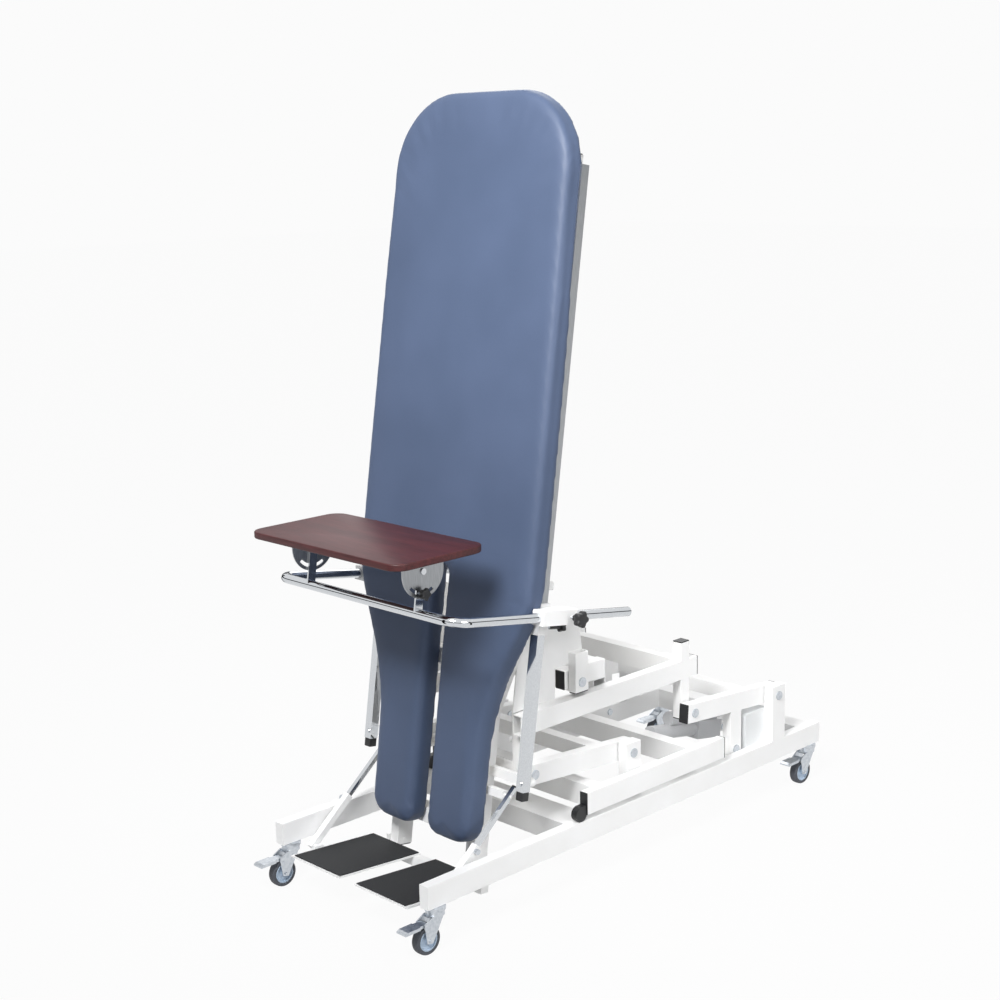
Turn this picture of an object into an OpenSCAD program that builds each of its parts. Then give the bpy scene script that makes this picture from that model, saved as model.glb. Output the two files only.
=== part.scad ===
// Physiotherapy tilt table with push-carriage lift, padded top, tray and footplates.
// Millimetres. +X runs to the head end of the base, +Z is up, the floor is Z = 0.
// The rest pose is the one with the top nearly upright and the lift fully down.

/* [Base frame] */
// Length of the base rails
base_l = 1600; // [1540:10:1700]
// Width across the outer faces of the base rails
base_w = 600; // [590:5:640]
// Height of the base rail tube
rail_h = 60; // [54:1:64]
// Width of the side tubes of the base
rail_w = 30; // [28:1:32]
// Height of the rail's underside above the floor
rail_z = 116; // [114:1:124]
// Wall of every steel tube
tube_wall = 2; // [1.5:0.1:2.5]

/* [Castors] */
// Diameter of a castor wheel
wheel_d = 75; // [70:1:76]
// Width of the tyre
tyre_w = 24; // [20:1:26]
// Reach of the brake pedal ahead of the swivel
pedal_reach = 110; // [100:1:120]

/* [Lift] */
// Distance between the two pivots of a lift arm
arm_l = 347; // [340:1:354]
// Rise of the arm from its base pivot at rest, in degrees
arm_rise = 4.4; // [4:0.1:5]
// Height of the arm tube
arm_h = 54; // [50:1:56]
// Distance of the rear base pivot from the rear ends of the rails
rear_pivot_inset = 206; // [200:1:212]
// Height of the rear base pivot
rear_pivot_z = 312; // [308:1:318]

/* [Top] */
// Length of the padded top
pad_l = 1900; // [1800:10:2000]
// Width of the padded top at the hips
pad_w = 652; // [646:2:660]
// Thickness of the cushion
pad_t = 47; // [40:1:50]
// Length of the gap between the two leg cushions
slot_l = 700; // [660:10:720]
// Width of the gap between the two leg cushions
slot_w = 56; // [50:2:60]
// Lean of the top behind upright at rest, in degrees
lean = 9.1; // [8.5:0.1:9.5]

/* [Tray] */
// Width of the tray board across the table
tray_w = 570; // [500:5:600]
// Depth of the tray board
tray_d = 290; // [260:5:310]
// Thickness of the tray board
tray_t = 18; // [15:1:22]
// Diameter of the bent tray tube
tray_tube_d = 25; // [22:1:26]
// Length of the sides of the bent tray tube
tray_tube_l = 610; // [580:5:640]

/* [Footplates] */
// Length of a footplate
foot_l = 276; // [250:2:290]
// Width of a footplate
foot_w = 200; // [180:2:200]
// Gap between the two footplates
foot_gap = 58; // [50:1:60]

/* [Hidden] */
// Clearances and overruns
play = 0.3;
fit = 0.05;
over = 1;
smooth = 48;

// Bolts: shank, head and washer, nut
bolt_r = 6;
head_r = 13;
head_h = 3;
nut_r = 10;
nut_h = 4;

// Planes of the side tubes, as distances from the centre plane
side_gap = 4;
arm_w = 30;
base_out = base_w/2;
base_in = base_out - rail_w;
rear_arm_out = base_in - side_gap;
rear_arm_in = rear_arm_out - arm_w;
upper_w = 30;
upper_out = rear_arm_in - 1.5*side_gap;
upper_in = upper_out - upper_w;
front_post_in = base_in - rail_w;
front_arm_out = front_post_in - side_gap;
front_arm_in = front_arm_out - arm_w;
drop_in = upper_in - upper_w;
carriage_w = 25;
carriage_in = base_out - carriage_w;
link_t = 6;
link_out = rear_arm_in - side_gap;
link_in = link_out - link_t;

// Base
rail_top = rail_z + rail_h;
front_cross_x = 503;
front_cross_l = 95;
rear_cross_l = 60;
rear_pivot_x = base_l - rear_pivot_inset;
rear_cross_inset = 20;
rear_cross_x = base_l - rear_cross_l - rear_cross_inset;
rear_post_l = 60;
post_above = 30;
front_pivot_x = 782;
front_pivot_z = 295;
front_post_l = 57;

// Castors, trailing towards the front
castor_y = base_out - rail_w/2;
castor_front_x = 35;
castor_rear_inset = 43;
castor_rear_x = base_l - castor_rear_inset;
castor_trail = 32;
wheel_z = wheel_d/2;
stem_r = 7;
stem_h = 40;
race_r = 27;
race_h = 8;
crown_r = 24;
crown_h = 14;
fork_t = 3;
fork_in = 14;
axle_r = 4;
tyre_depth = 10;
hub_r = wheel_z - tyre_depth;
hub_side = 1.5;
pedal_drop = 40;
pedal_z = rail_z - pedal_drop;
pedal_t = 8;
pedal_w = 34;
pedal_neck_w = 25;
pedal_neck_l = 22;
pedal_pin_r = 3;
pedal_pin_dx = 40;

// Lift pivots, as x and z pairs
rear_pivot = [rear_pivot_x, rear_pivot_z];
front_pivot = [front_pivot_x, front_pivot_z];
arm_step = [-arm_l*cos(arm_rise), arm_l*sin(arm_rise)];
rear_top = rear_pivot + arm_step;
front_top = front_pivot + arm_step;
arm_end = 30;
arm_cross_l = 40;
arm_cross_h = 40;
rear_cross_share = 0.25;
front_cross_share = 0.24;
lever_ahead = 159;
lever_drop = 131;
lever_bolt = rear_pivot - [lever_ahead, lever_drop];
lever_l = 47;
lever_foot = 16;
cap_t = 3;

// Push carriage
carriage_gap = 14;
carriage_z = rail_top + carriage_gap;
carriage_h = 60;
carriage_behind = 98;
carriage_ahead = 217;
carriage_rear = lever_bolt[0] - carriage_behind;
carriage_front = front_pivot_x - carriage_ahead;
carriage_bar_l = 40;
rear_bar_inset = 117;
front_bar_inset = 59;
rear_bar_x = carriage_rear - rear_bar_inset;
front_bar_x = carriage_front + front_bar_inset;
link_h = 30;
glide_r = 20;
glide_w = 20;
glide_at = [carriage_front - glide_r, rail_top + play + glide_r];

// Upper frame
upper_above = 111;
upper_z = front_top[1] + upper_above;
upper_h = 54;
upper_top = upper_z + upper_h;
upper_nose = 41;
upper_tail = 52;
upper_front = front_top[0] - upper_nose;
upper_rear = rear_top[0] + upper_tail;
rear_drop_l = 34;
rear_drop_foot = 22;
rear_stub = 52;
front_drop_l = 30;
front_drop_foot = 25;
shaft_r = 15;
upper_bar_l = 34;
tilt_behind = 188;
tilt_above = 92;
tilt_axis = [front_top[0] + tilt_behind, upper_z + tilt_above];
pivot_front = 35;
pivot_rear = 123;
pivot_h = 50;
pivot_below = 20;
pivot_bar_l = 47;

// Tilting top: n is the distance behind the cushion's face, s the distance up from its foot
axis_n = 339;
axis_s = 411;
foot_x = tilt_axis[0] - axis_s*sin(lean) - axis_n*cos(lean);
foot_z = tilt_axis[1] - axis_s*cos(lean) + axis_n*sin(lean);
board_t = 18;
frame_n = pad_t + board_t;
frame_t = 50;
frame_back = frame_n + frame_t;
frame_w = 30;
leg_out = 160;
hip_inset = 61;
hip_out = pad_w/2 - hip_inset;
leg_foot = -90;
bend_s = 330;
hip_s = 640;
head_inset = 150;
frame_top = pad_l - head_inset;
top_bar_l = 40;
// Heights of the cross bars up the top
top_bars = [20, 450, 700, 1250, frame_top - top_bar_l];

// Tilt pivot posts and the side plates that carry them
post_w = 26;
plate_t = 3;
post_out = upper_out;
post_in = post_out - post_w;
plate_in = post_in - plate_t;
pivot_out = plate_in - over;
pivot_in = pivot_out - upper_w;
post_l = 48;
post_foot = 26;
post_head = 81;
plate_low_s = 342;
plate_high_s = 609;
// Outline of a side plate behind the top, as x and z pairs from the tilt axis
plate_edge = [[-76, -32], [-76, 50], [16, 50], [30, 64], [19, 159], [-93, 221], [-144, 226]];

// Cushion outline: shares of the length against half widths as shares of the hip half width
legs_share = 0.583;
width_shares = [
    [0.105, 0.590], [0.158, 0.606], [0.200, 0.660], [0.232, 0.722], [0.264, 0.806],
    [0.295, 0.890], [0.327, 0.962], [0.358, 0.995], [0.430, 1.000], [0.580, 0.995],
    [0.740, 0.985], [0.860, 0.968]];
// How many of them stand beside the gap between the legs
leg_count = 7;
toe_r = 55;
inner_toe_r = 42;
head_corner_r = 205;
arc_steps = 8;
// Rings of the cushion from its back to its face: shares of the inset and of the thickness
crown_inset = 36;
ring_shares = [[0.11, 1], [0, 0.86], [0, 0.36], [0.10, 0.16], [0.30, 0.06], [0.62, 0.015], [1, 0]];
board_inset = 18;

// Side rails for straps
side_rail_t = 10;
side_rail_h = 25;
side_rail_inset = 4;
side_rail_ahead = 11;
side_rail_out = pad_w/2 - side_rail_inset;
side_rail_n = frame_n - side_rail_ahead;
side_rail_s = 650;
side_rail_head = 180;
side_rail_l = pad_l - side_rail_s - side_rail_head;
spacer_l = 24;
spacer_t = 9;
spacer_count = 4;

// Tray
tray_post_d = 25;
tray_post_inset = 31;
tray_post_gap = 5;
tray_post_y = pad_w/2 - tray_post_inset;
tray_post_n = frame_n + tray_post_gap + tray_post_d/2;
tray_post_foot = 165;
tray_post_top = 700;
post_bar_s = 185;
post_bar_l = 24;
post_screw_r = 6;
holder_wall = 4;
holder_s = 566;
holder_h = 80;
sleeve_wall = 6;
sleeve_n = 30;
sleeve_l = 120;
tray_tube_s = 618;
tray_tube_gap = 14;
tray_tube_y = pad_w/2 + tray_tube_gap;
tray_tube_n = -245;
tray_bend_r = 45;
stand_y = 203;
stand_t = 5;
stand_l = 24;
tray_pivot_s = 721;
disc_r = 66;
disc_t = 3;
disc_slot_r = 53;
disc_slot_w = 9;
disc_turn = 42;
board_drop = 34;
flange_w = 36;
tray_corner_r = 38;

// Footplates and their struts
foot_hinge_up = 12;
foot_hinge_n = frame_n + frame_t/2;
foot_hinge_s = leg_foot + foot_hinge_up;
foot_pitch = 4.8;
foot_back = 32;
foot_plate_t = 4;
mat_t = 3;
mat_inset = 4;
foot_bar_l = 25;
foot_lug_t = 6;
foot_lug_r = 13;
strut_arm = 219;
strut_open = 92;
strut_y = 250;
strut_w = 18;
rod_w = 12;
strut_pin_r = 4;
strut_arm_h = 20;
sleeve_share = 0.52;
rod_foot_share = 0.20;
rod_head_l = 26;

// Drives, along the line between their two pins
lift_pin_ahead = 30;
lift_pin_up = 9;
lift_rod_pin_behind = 55;
lift_rod_pin_up = 10;
lift_pin = [rear_cross_x - lift_pin_ahead, rail_z + lift_pin_up];
lift_rod_pin = [rear_bar_x + lift_rod_pin_behind, carriage_z + lift_rod_pin_up];
lift_slack = 5.5;
tilt_pin_n = 220;
tilt_pin_s = 450;
slot_back = 18.5;
slot_down = 10.5;
lug_edge = 10;
eye_r = 16;
eye_w = 20;
lug_gap = 2;
lug_t = 6;
drive_tube_r = 22;
drive_rod_r = 9;
drive_house_w = 56;
drive_house_share = 0.32;
drive_tube_share = 0.79;
drive_rod_share = 0.24;
motor_r = 22;
motor_share = 0.60;

// Control box
box_l = 100;
box_w = 60;
box_h = 145;
box_ahead = 119;
box_x = rear_pivot_x - box_ahead;
box_z = 130;
inlet_l = 30;
inlet_h = 24;
inlet_depth = 14;
inlet_wall = 2;
inlet_pin = 2;

// Knobs
knob_r = 22;
knob_t = 18;
knob_hub_r = 9;
knob_stud_r = 4;
small_share = 0.72;
lobe_share = 0.27;
lobes = 5;
reach_stem = 22;
height_stem = 40;
angle_stem = 8;
reach_knob_n = 132;
height_knob_s = 582;
screw_r = 7;
screw_l = 10;
screw_below = 14;

// Places that follow from the sizes above, as x and z pairs
function top_place(n, s) = [foot_x + s*sin(lean) + n*cos(lean), foot_z + s*cos(lean) - n*sin(lean)];
foot_hinge = top_place(foot_hinge_n, foot_hinge_s);
strut_low = foot_hinge + strut_arm*[-cos(foot_pitch), sin(foot_pitch)];
strut_turn = strut_open + foot_pitch - lean - 90;
strut_n = foot_hinge_n + strut_arm*sin(strut_turn);
strut_s = foot_hinge_s + strut_arm*cos(strut_turn);
strut_high = top_place(strut_n, strut_s);
strut_l = norm(strut_high - strut_low);
foot_knob_at = sleeve_share*strut_l - screw_below;
tilt_rod_pin = top_place(tilt_pin_n, tilt_pin_s);
tray_pivot = top_place(tray_tube_n, tray_pivot_s);
middle_x = (base_l - pedal_reach + castor_front_x)/2;

// Shape helpers

// A box between two corners
module block(x0, x1, y0, y1, z0, z1) {
    translate([x0, y0, z0]) cube([x1 - x0, y1 - y0, z1 - z0]);
}

// The same shape on both sides of the centre plane
module both_sides() {
    children();
    mirror([0, 1, 0]) children();
}

// Tubes along each axis, open at both ends
module tube_x(x0, x1, y0, y1, z0, z1) {
    difference() {
        block(x0, x1, y0, y1, z0, z1);
        block(x0 - over, x1 + over, y0 + tube_wall, y1 - tube_wall, z0 + tube_wall, z1 - tube_wall);
    }
}

module tube_y(x0, x1, y0, y1, z0, z1) {
    difference() {
        block(x0, x1, y0, y1, z0, z1);
        block(x0 + tube_wall, x1 - tube_wall, y0 - over, y1 + over, z0 + tube_wall, z1 - tube_wall);
    }
}

module tube_z(x0, x1, y0, y1, z0, z1) {
    difference() {
        block(x0, x1, y0, y1, z0, z1);
        block(x0 + tube_wall, x1 - tube_wall, y0 + tube_wall, y1 - tube_wall, z0 - over, z1 + over);
    }
}

// A round bar across the table at an x and z place, between two y values
module across(place, r, y0, y1) {
    translate([place[0], y1, place[1]]) rotate([90, 0, 0]) cylinder(r = r, h = y1 - y0, $fn = smooth);
}

// A flat plate across the table from an x and z outline
module plate_across(points, y0, y1) {
    translate([0, y1, 0]) rotate([90, 0, 0]) linear_extrude(y1 - y0) polygon(points);
}

// A pivot bolt with its head outside, its nut inside and a washer between the two members.
// It is tight in one of them and stands clear of the other.
module pivot_bolt(place, outer_out, outer_in, inner_out, inner_in, tight_outside) {
    outer_play = tight_outside ? 0 : play;
    inner_play = tight_outside ? play : 0;
    head_at = outer_out + outer_play;
    nut_at = inner_in - inner_play - nut_h;
    union() {
        across(place, head_r, head_at, head_at + head_h);
        across(place, head_r, inner_out + inner_play, outer_in - outer_play);
        across(place, nut_r, nut_at, nut_at + nut_h);
        across(place, bolt_r, nut_at, head_at + head_h);
    }
}

// A pin across the two lugs of a drive, with a nut outside each lug
module lug_pin(place) {
    lug_out = eye_w/2 + lug_gap + lug_t;
    union() {
        across(place, bolt_r, -lug_out - nut_h, lug_out + nut_h);
        both_sides() across(place, nut_r, lug_out, lug_out + nut_h);
    }
}

// Local z runs from one x and z place to another
module along(from, to) {
    d = to - from;
    translate([from[0], 0, from[1]]) rotate([0, atan2(d[0], d[1]), 0]) children();
}

// Local x runs back along a lift arm through its base pivot
module on_arm(pivot) {
    translate([pivot[0], 0, pivot[1]]) rotate([0, arm_rise, 0]) children();
}

// The frame of the tilting top: x is n and z is s
module on_top() {
    translate([foot_x, 0, foot_z]) rotate([0, lean, 0]) children();
}

// The frame of the footplates: the origin is their hinge and -x runs along the plates
module on_foot() {
    translate([foot_hinge[0], 0, foot_hinge[1]]) rotate([0, foot_pitch, 0]) children();
}

// A slab on the top, its outline given as y and s, between two depths
module slab(points, n0, n1) {
    translate([n0, 0, 0]) rotate([90, 0, 90]) linear_extrude(n1 - n0) polygon(points);
}

// Base

module base_rails() {
    color("whitesmoke") both_sides() difference() {
        block(0, base_l, base_in, base_out, rail_z, rail_top);
        block(tube_wall, base_l - tube_wall, base_in + tube_wall, base_out - tube_wall,
            rail_z + tube_wall, rail_top - tube_wall);
        for (x = [castor_front_x, castor_rear_x])
            translate([x, castor_y, rail_z - over])
                cylinder(r = stem_r + fit, h = tube_wall + 2*over, $fn = smooth);
    }
}

module base_cross_tubes() {
    lug_in = eye_w/2 + lug_gap;
    color("whitesmoke") {
        tube_y(front_cross_x, front_cross_x + front_cross_l, -base_in, base_in, rail_z, rail_top);
        tube_y(rear_cross_x, rear_cross_x + rear_cross_l, -base_in, base_in, rail_z, rail_top);
        both_sides() difference() {
            union() {
                block(lift_pin[0], rear_cross_x, lug_in, lug_in + lug_t, rail_z, rail_z + eye_r + bolt_r);
                across(lift_pin, eye_r, lug_in, lug_in + lug_t);
            }
            across(lift_pin, bolt_r + fit, lug_in - over, lug_in + lug_t + over);
        }
    }
}

// A post with an open foot and a closed top, drilled for its pivot
module pivot_post(pivot, l, y0, y1, z0) {
    z1 = pivot[1] + post_above;
    difference() {
        block(pivot[0] - l/2, pivot[0] + l/2, y0, y1, z0, z1);
        block(pivot[0] - l/2 + tube_wall, pivot[0] + l/2 - tube_wall, y0 + tube_wall, y1 - tube_wall,
            z0 - over, z1 - tube_wall);
        across(pivot, bolt_r + fit, y0 - over, y1 + over);
    }
}

module base_posts() {
    color("whitesmoke") both_sides() {
        pivot_post(rear_pivot, rear_post_l, base_in, base_out, rail_top);
        pivot_post(front_pivot, front_post_l, front_post_in, base_in, rail_z);
    }
}

module base_bolts() {
    color("lightgray") {
        both_sides() {
            pivot_bolt(rear_pivot, base_out, base_in, rear_arm_out, rear_arm_in, true);
            pivot_bolt(front_pivot, base_in, front_post_in, front_arm_out, front_arm_in, true);
        }
        lug_pin(lift_pin);
    }
}

module control_box() {
    y0 = -base_in + (box_w - inlet_l)/2;
    color("gainsboro") difference() {
        block(box_x, box_x + box_l, -base_in, -base_in + box_w, box_z, box_z + box_h);
        block(box_x + box_l - inlet_depth, box_x + box_l + over, y0, y0 + inlet_l,
            box_z + inlet_h, box_z + 2*inlet_h);
    }
}

module mains_inlet() {
    x0 = box_x + box_l - inlet_depth;
    y0 = -base_in + (box_w - inlet_l)/2;
    z0 = box_z + inlet_h;
    color("dimgray") union() {
        difference() {
            block(x0, box_x + box_l, y0, y0 + inlet_l, z0, z0 + inlet_h);
            block(x0 + inlet_wall, box_x + box_l + over, y0 + inlet_wall, y0 + inlet_l - inlet_wall,
                z0 + inlet_wall, z0 + inlet_h - inlet_wall);
        }
        for (k = [1:3])
            translate([x0, y0 + k*inlet_l/4 - inlet_pin/2, z0 + inlet_h/2])
                cube([inlet_depth - inlet_wall, inlet_pin, 2*inlet_pin]);
    }
}

// Castors, drawn about the swivel axis

module castor_at(x, side) {
    translate([x, side*castor_y, 0]) children();
}

module fork() {
    top_z = rail_z - play;
    crown_z = top_z - race_h - crown_h;
    axle = [-castor_trail, wheel_z];
    pin = [-pedal_pin_dx, pedal_z + pedal_t/2];
    color("silver") union() {
        translate([0, 0, top_z - race_h]) cylinder(r = race_r, h = race_h, $fn = smooth);
        translate([0, 0, top_z - over]) cylinder(r = stem_r, h = stem_h, $fn = smooth);
        translate([0, 0, crown_z]) cylinder(r = crown_r, h = crown_h + over, $fn = smooth);
        block(-crown_r, crown_r/2, -fork_in - fork_t, fork_in + fork_t, crown_z - fork_t, crown_z + fork_t);
        for (y = [-fork_in - fork_t, fork_in])
            plate_across([
                axle + [-2.5*axle_r, -axle_r], axle + [2*axle_r, -2*axle_r],
                [crown_r/2, crown_z - fork_t], [crown_r/2, crown_z + fork_t], [-crown_r, crown_z + fork_t],
                pin + [-pedal_t, pedal_t/2], pin + [-pedal_t, -pedal_t]], y, y + fork_t);
        across(axle, axle_r, -fork_in - 2*fork_t, fork_in + 2*fork_t);
        across(pin, pedal_pin_r, -fork_in - fork_t, fork_in + fork_t);
    }
}

module tyre() {
    color("gray") translate([-castor_trail, 0, wheel_z]) rotate([90, 0, 0]) rotate_extrude($fn = smooth)
        polygon([
            [hub_r, -tyre_w/2 + hub_side], [wheel_z - 2*hub_side, -tyre_w/2],
            [wheel_z, -tyre_w/4], [wheel_z, tyre_w/4],
            [wheel_z - 2*hub_side, tyre_w/2], [hub_r, tyre_w/2 - hub_side]]);
}

module hub() {
    rim = hub_r - hub_side;
    edge = tyre_w/2 - hub_side;
    color("lightsteelblue") translate([-castor_trail, 0, wheel_z]) rotate([90, 0, 0])
        rotate_extrude($fn = smooth) polygon([
            [axle_r + fit, -tyre_w/2 - over], [2*axle_r, -tyre_w/2 - over], [2*axle_r, -tyre_w/4],
            [rim, -tyre_w/4], [rim, -edge], [hub_r, -edge], [hub_r, edge], [rim, edge],
            [rim, tyre_w/4], [2*axle_r, tyre_w/4], [2*axle_r, tyre_w/2 + over],
            [axle_r + fit, tyre_w/2 + over]]);
}

module pedal() {
    neck_x = -pedal_pin_dx - pedal_neck_l;
    color("silver") difference() {
        union() {
            plate_across([
                [neck_x, pedal_z], [neck_x, pedal_z + pedal_t], [-pedal_reach + pedal_t, pedal_z + pedal_t],
                [-pedal_reach, pedal_z + pedal_t/2], [-pedal_reach, pedal_z]], -pedal_w/2, pedal_w/2);
            block(neck_x - over, pedal_t/2 - pedal_pin_dx, -pedal_neck_w/2, pedal_neck_w/2,
                pedal_z, pedal_z + pedal_t);
        }
        across([-pedal_pin_dx, pedal_z + pedal_t/2], pedal_pin_r + fit, -pedal_w, pedal_w);
    }
}

// Lift arms

// One arm, drilled at both pivots; the wall at its ends is zero where loose caps close it
module arm_shell(in, out, end_wall) {
    difference() {
        block(-arm_l - arm_end, arm_end, in, out, -arm_h/2, arm_h/2);
        block(-arm_l - arm_end + end_wall, arm_end - end_wall, in + tube_wall, out - tube_wall,
            -arm_h/2 + tube_wall, arm_h/2 - tube_wall);
        for (x = [-arm_l, 0]) across([x, 0], bolt_r + fit, in - over, out + over);
    }
}

module arm_cross_tube(share, in) {
    x = -share*arm_l;
    tube_y(x - arm_cross_l/2, x + arm_cross_l/2, -in, in, -arm_cross_h/2, arm_cross_h/2);
}

// The lever hangs from the underside of the rear arm and carries the bolt of the push link
module lever() {
    x0 = lever_bolt[0] - lever_l/2;
    z0 = lever_bolt[1] - lever_foot;
    difference() {
        block(x0, x0 + lever_l, rear_arm_in, rear_arm_out, z0, rear_pivot[1]);
        block(x0 + tube_wall, x0 + lever_l - tube_wall, rear_arm_in + tube_wall, rear_arm_out - tube_wall,
            z0 + tube_wall, rear_pivot[1] + over);
        on_arm(rear_pivot) block(-arm_l, 0, rear_arm_in - over, rear_arm_out + over,
            tube_wall - arm_h/2, arm_h/2);
        across(lever_bolt, bolt_r + fit, rear_arm_in - over, rear_arm_out + over);
    }
}

module rear_rocker() {
    color("whitesmoke") union() {
        on_arm(rear_pivot) arm_cross_tube(rear_cross_share, rear_arm_in);
        both_sides() {
            on_arm(rear_pivot) arm_shell(rear_arm_in, rear_arm_out, -over);
            lever();
        }
    }
}

module rear_rocker_caps() {
    color("black") on_arm(rear_pivot) both_sides() {
        block(-arm_l - arm_end - cap_t, -arm_l - arm_end, rear_arm_in, rear_arm_out, -arm_h/2, arm_h/2);
        block(arm_end, arm_end + cap_t, rear_arm_in, rear_arm_out, -arm_h/2, arm_h/2);
    }
}

module front_rocker() {
    color("whitesmoke") on_arm(front_pivot) union() {
        arm_cross_tube(front_cross_share, front_arm_in);
        both_sides() arm_shell(front_arm_in, front_arm_out, tube_wall);
    }
}

// Upper frame

module upper_rails() {
    color("whitesmoke") both_sides()
        tube_x(upper_front, upper_rear, upper_in, upper_out, upper_z, upper_top);
}

module upper_cross_tubes() {
    rear_x = rear_top[0] - upper_bar_l/2;
    bar_x = tilt_axis[0] + pivot_rear - pivot_bar_l;
    bar_top = tilt_axis[1] - pivot_below;
    color("whitesmoke") {
        tube_y(rear_x, rear_x + upper_bar_l, -upper_in, upper_in, upper_z, upper_top);
        tube_y(bar_x, bar_x + pivot_bar_l, -upper_in, upper_in, bar_top - pivot_h, bar_top);
        both_sides() difference() {
            tube_x(tilt_axis[0] - pivot_front, tilt_axis[0] + pivot_rear, pivot_in, pivot_out,
                bar_top, bar_top + pivot_h);
            across(tilt_axis, bolt_r + fit, pivot_in - over, pivot_out + over);
        }
        difference() {
            across(front_top, shaft_r, -drop_in, drop_in);
            across(front_top, shaft_r - tube_wall, -drop_in - over, drop_in + over);
        }
    }
}

module upper_posts() {
    rear_x = rear_top[0] - rear_drop_l/2;
    front_x = front_top[0] - front_drop_l/2;
    color("whitesmoke") both_sides() {
        difference() {
            tube_z(rear_x, rear_x + rear_drop_l, upper_in, upper_out,
                rear_top[1] - rear_drop_foot, upper_z);
            across(rear_top, bolt_r + fit, upper_in - over, upper_out + over);
        }
        tube_z(rear_x, rear_x + rear_drop_l, upper_in, upper_out, upper_top, upper_top + rear_stub);
        difference() {
            tube_z(front_x, front_x + front_drop_l, drop_in, upper_in,
                front_top[1] - front_drop_foot, upper_top);
            across(front_top, bolt_r + fit, drop_in - over, upper_in + over);
        }
    }
}

module upper_end_caps() {
    rear_x = rear_top[0] - rear_drop_l/2;
    pivot_x = tilt_axis[0] - pivot_front;
    pivot_z = tilt_axis[1] - pivot_below;
    color("black") both_sides() {
        block(upper_rear, upper_rear + cap_t, upper_in, upper_out, upper_z, upper_top);
        block(pivot_x - cap_t, pivot_x, pivot_in, pivot_out, pivot_z, pivot_z + pivot_h);
        for (z = [rear_top[1] - rear_drop_foot - cap_t, upper_top + rear_stub])
            block(rear_x, rear_x + rear_drop_l, upper_in, upper_out, z, z + cap_t);
    }
}

module upper_bolts() {
    color("lightgray") both_sides() {
        pivot_bolt(rear_top, rear_arm_out, rear_arm_in, upper_out, upper_in, false);
        pivot_bolt(tilt_axis, post_out, post_in, pivot_out, pivot_in, false);
        union() {
            across(front_top, head_r, front_arm_out + play, front_arm_out + play + head_h);
            across(front_top, head_r, upper_in, front_arm_in - play);
            across(front_top, bolt_r, drop_in, front_arm_out + play + head_h);
        }
    }
}

// Push carriage

module carriage_tubes() {
    color("whitesmoke") both_sides()
        tube_x(carriage_front, carriage_rear, carriage_in, base_out, carriage_z, carriage_z + carriage_h);
}

// Side bars that reach back to the levers
module push_link() {
    rear_face = rear_bar_x + carriage_bar_l/2;
    difference() {
        plate_across([
            [rear_face, carriage_z], [rear_face, carriage_z + carriage_h*2/3],
            lever_bolt + [link_h/2, link_h/2], lever_bolt + [link_h/2, -link_h/2],
            lever_bolt + [-link_h/2, -link_h/2]], link_in, link_out);
        across(lever_bolt, bolt_r + fit, link_in - over, link_out + over);
    }
}

module carriage_cross_tubes() {
    lug_in = eye_w/2 + lug_gap;
    rear_face = rear_bar_x + carriage_bar_l/2;
    color("whitesmoke") {
        for (x = [front_bar_x, rear_bar_x])
            tube_y(x - carriage_bar_l/2, x + carriage_bar_l/2, -carriage_in, carriage_in,
                carriage_z, carriage_z + carriage_h);
        both_sides() {
            push_link();
            difference() {
                union() {
                    block(rear_face, lift_rod_pin[0], lug_in, lug_in + lug_t,
                        lift_rod_pin[1] - nut_r, lift_rod_pin[1] + eye_r);
                    across(lift_rod_pin, eye_r, lug_in, lug_in + lug_t);
                }
                across(lift_rod_pin, bolt_r + fit, lug_in - over, lug_in + lug_t + over);
            }
        }
    }
}

module carriage_glides() {
    mid_y = base_out - carriage_w/2;
    color("black") both_sides() {
        union() {
            across(glide_at, glide_r, mid_y - glide_w/2, mid_y + glide_w/2);
            block(glide_at[0], carriage_front, mid_y - glide_w/2, mid_y + glide_w/2,
                carriage_z, glide_at[1] + glide_r);
            block(carriage_front - cap_t, carriage_front, carriage_in, base_out,
                carriage_z, carriage_z + carriage_h);
        }
        block(carriage_rear, carriage_rear + cap_t, carriage_in, base_out,
            carriage_z, carriage_z + carriage_h);
    }
}

module carriage_bolts() {
    color("lightgray") {
        both_sides() pivot_bolt(lever_bolt, rear_arm_out, rear_arm_in, link_out, link_in, false);
        lug_pin(lift_rod_pin);
    }
}

// Drives: a foot eye, a gear housing with its motor, a tube, and a rod that slides in it

module drive_body(from, to, foot_r, foot_hole_r) {
    l = norm(to - from);
    house_z = foot_r + eye_r/2;
    color("gainsboro") along(from, to) difference() {
        union() {
            across([0, 0], foot_r, -eye_w/2, eye_w/2);
            block(-eye_r/2, eye_r/2, -eye_w/2, eye_w/2, 0, house_z + over);
            translate([-drive_house_w/2, -drive_house_w/2, house_z])
                cube([drive_house_w, drive_house_w, drive_house_share*l - house_z]);
            translate([0, 0, house_z])
                cylinder(r = drive_tube_r, h = drive_tube_share*l - house_z, $fn = smooth);
            translate([drive_house_w/2 + motor_r/2, 0, house_z + eye_r])
                cylinder(r = motor_r, h = motor_share*l - house_z - eye_r, $fn = smooth);
        }
        across([0, 0], foot_hole_r, -eye_w, eye_w);
        translate([0, 0, drive_rod_share*l - over]) cylinder(r = drive_rod_r + play, h = l, $fn = smooth);
    }
}

module drive_rod(from, to, end_r, end_hole_r) {
    l = norm(to - from);
    along(from, to) difference() {
        union() {
            translate([0, 0, drive_rod_share*l]) cylinder(r = drive_rod_r,
                h = (1 - drive_rod_share)*l, $fn = smooth);
            across([0, l], end_r, -eye_w/2, eye_w/2);
        }
        across([0, l], end_hole_r, -eye_w, eye_w);
    }
}

module lift_drive_body() {
    drive_body(lift_pin, lift_rod_pin, eye_r, bolt_r + fit);
}

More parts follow.
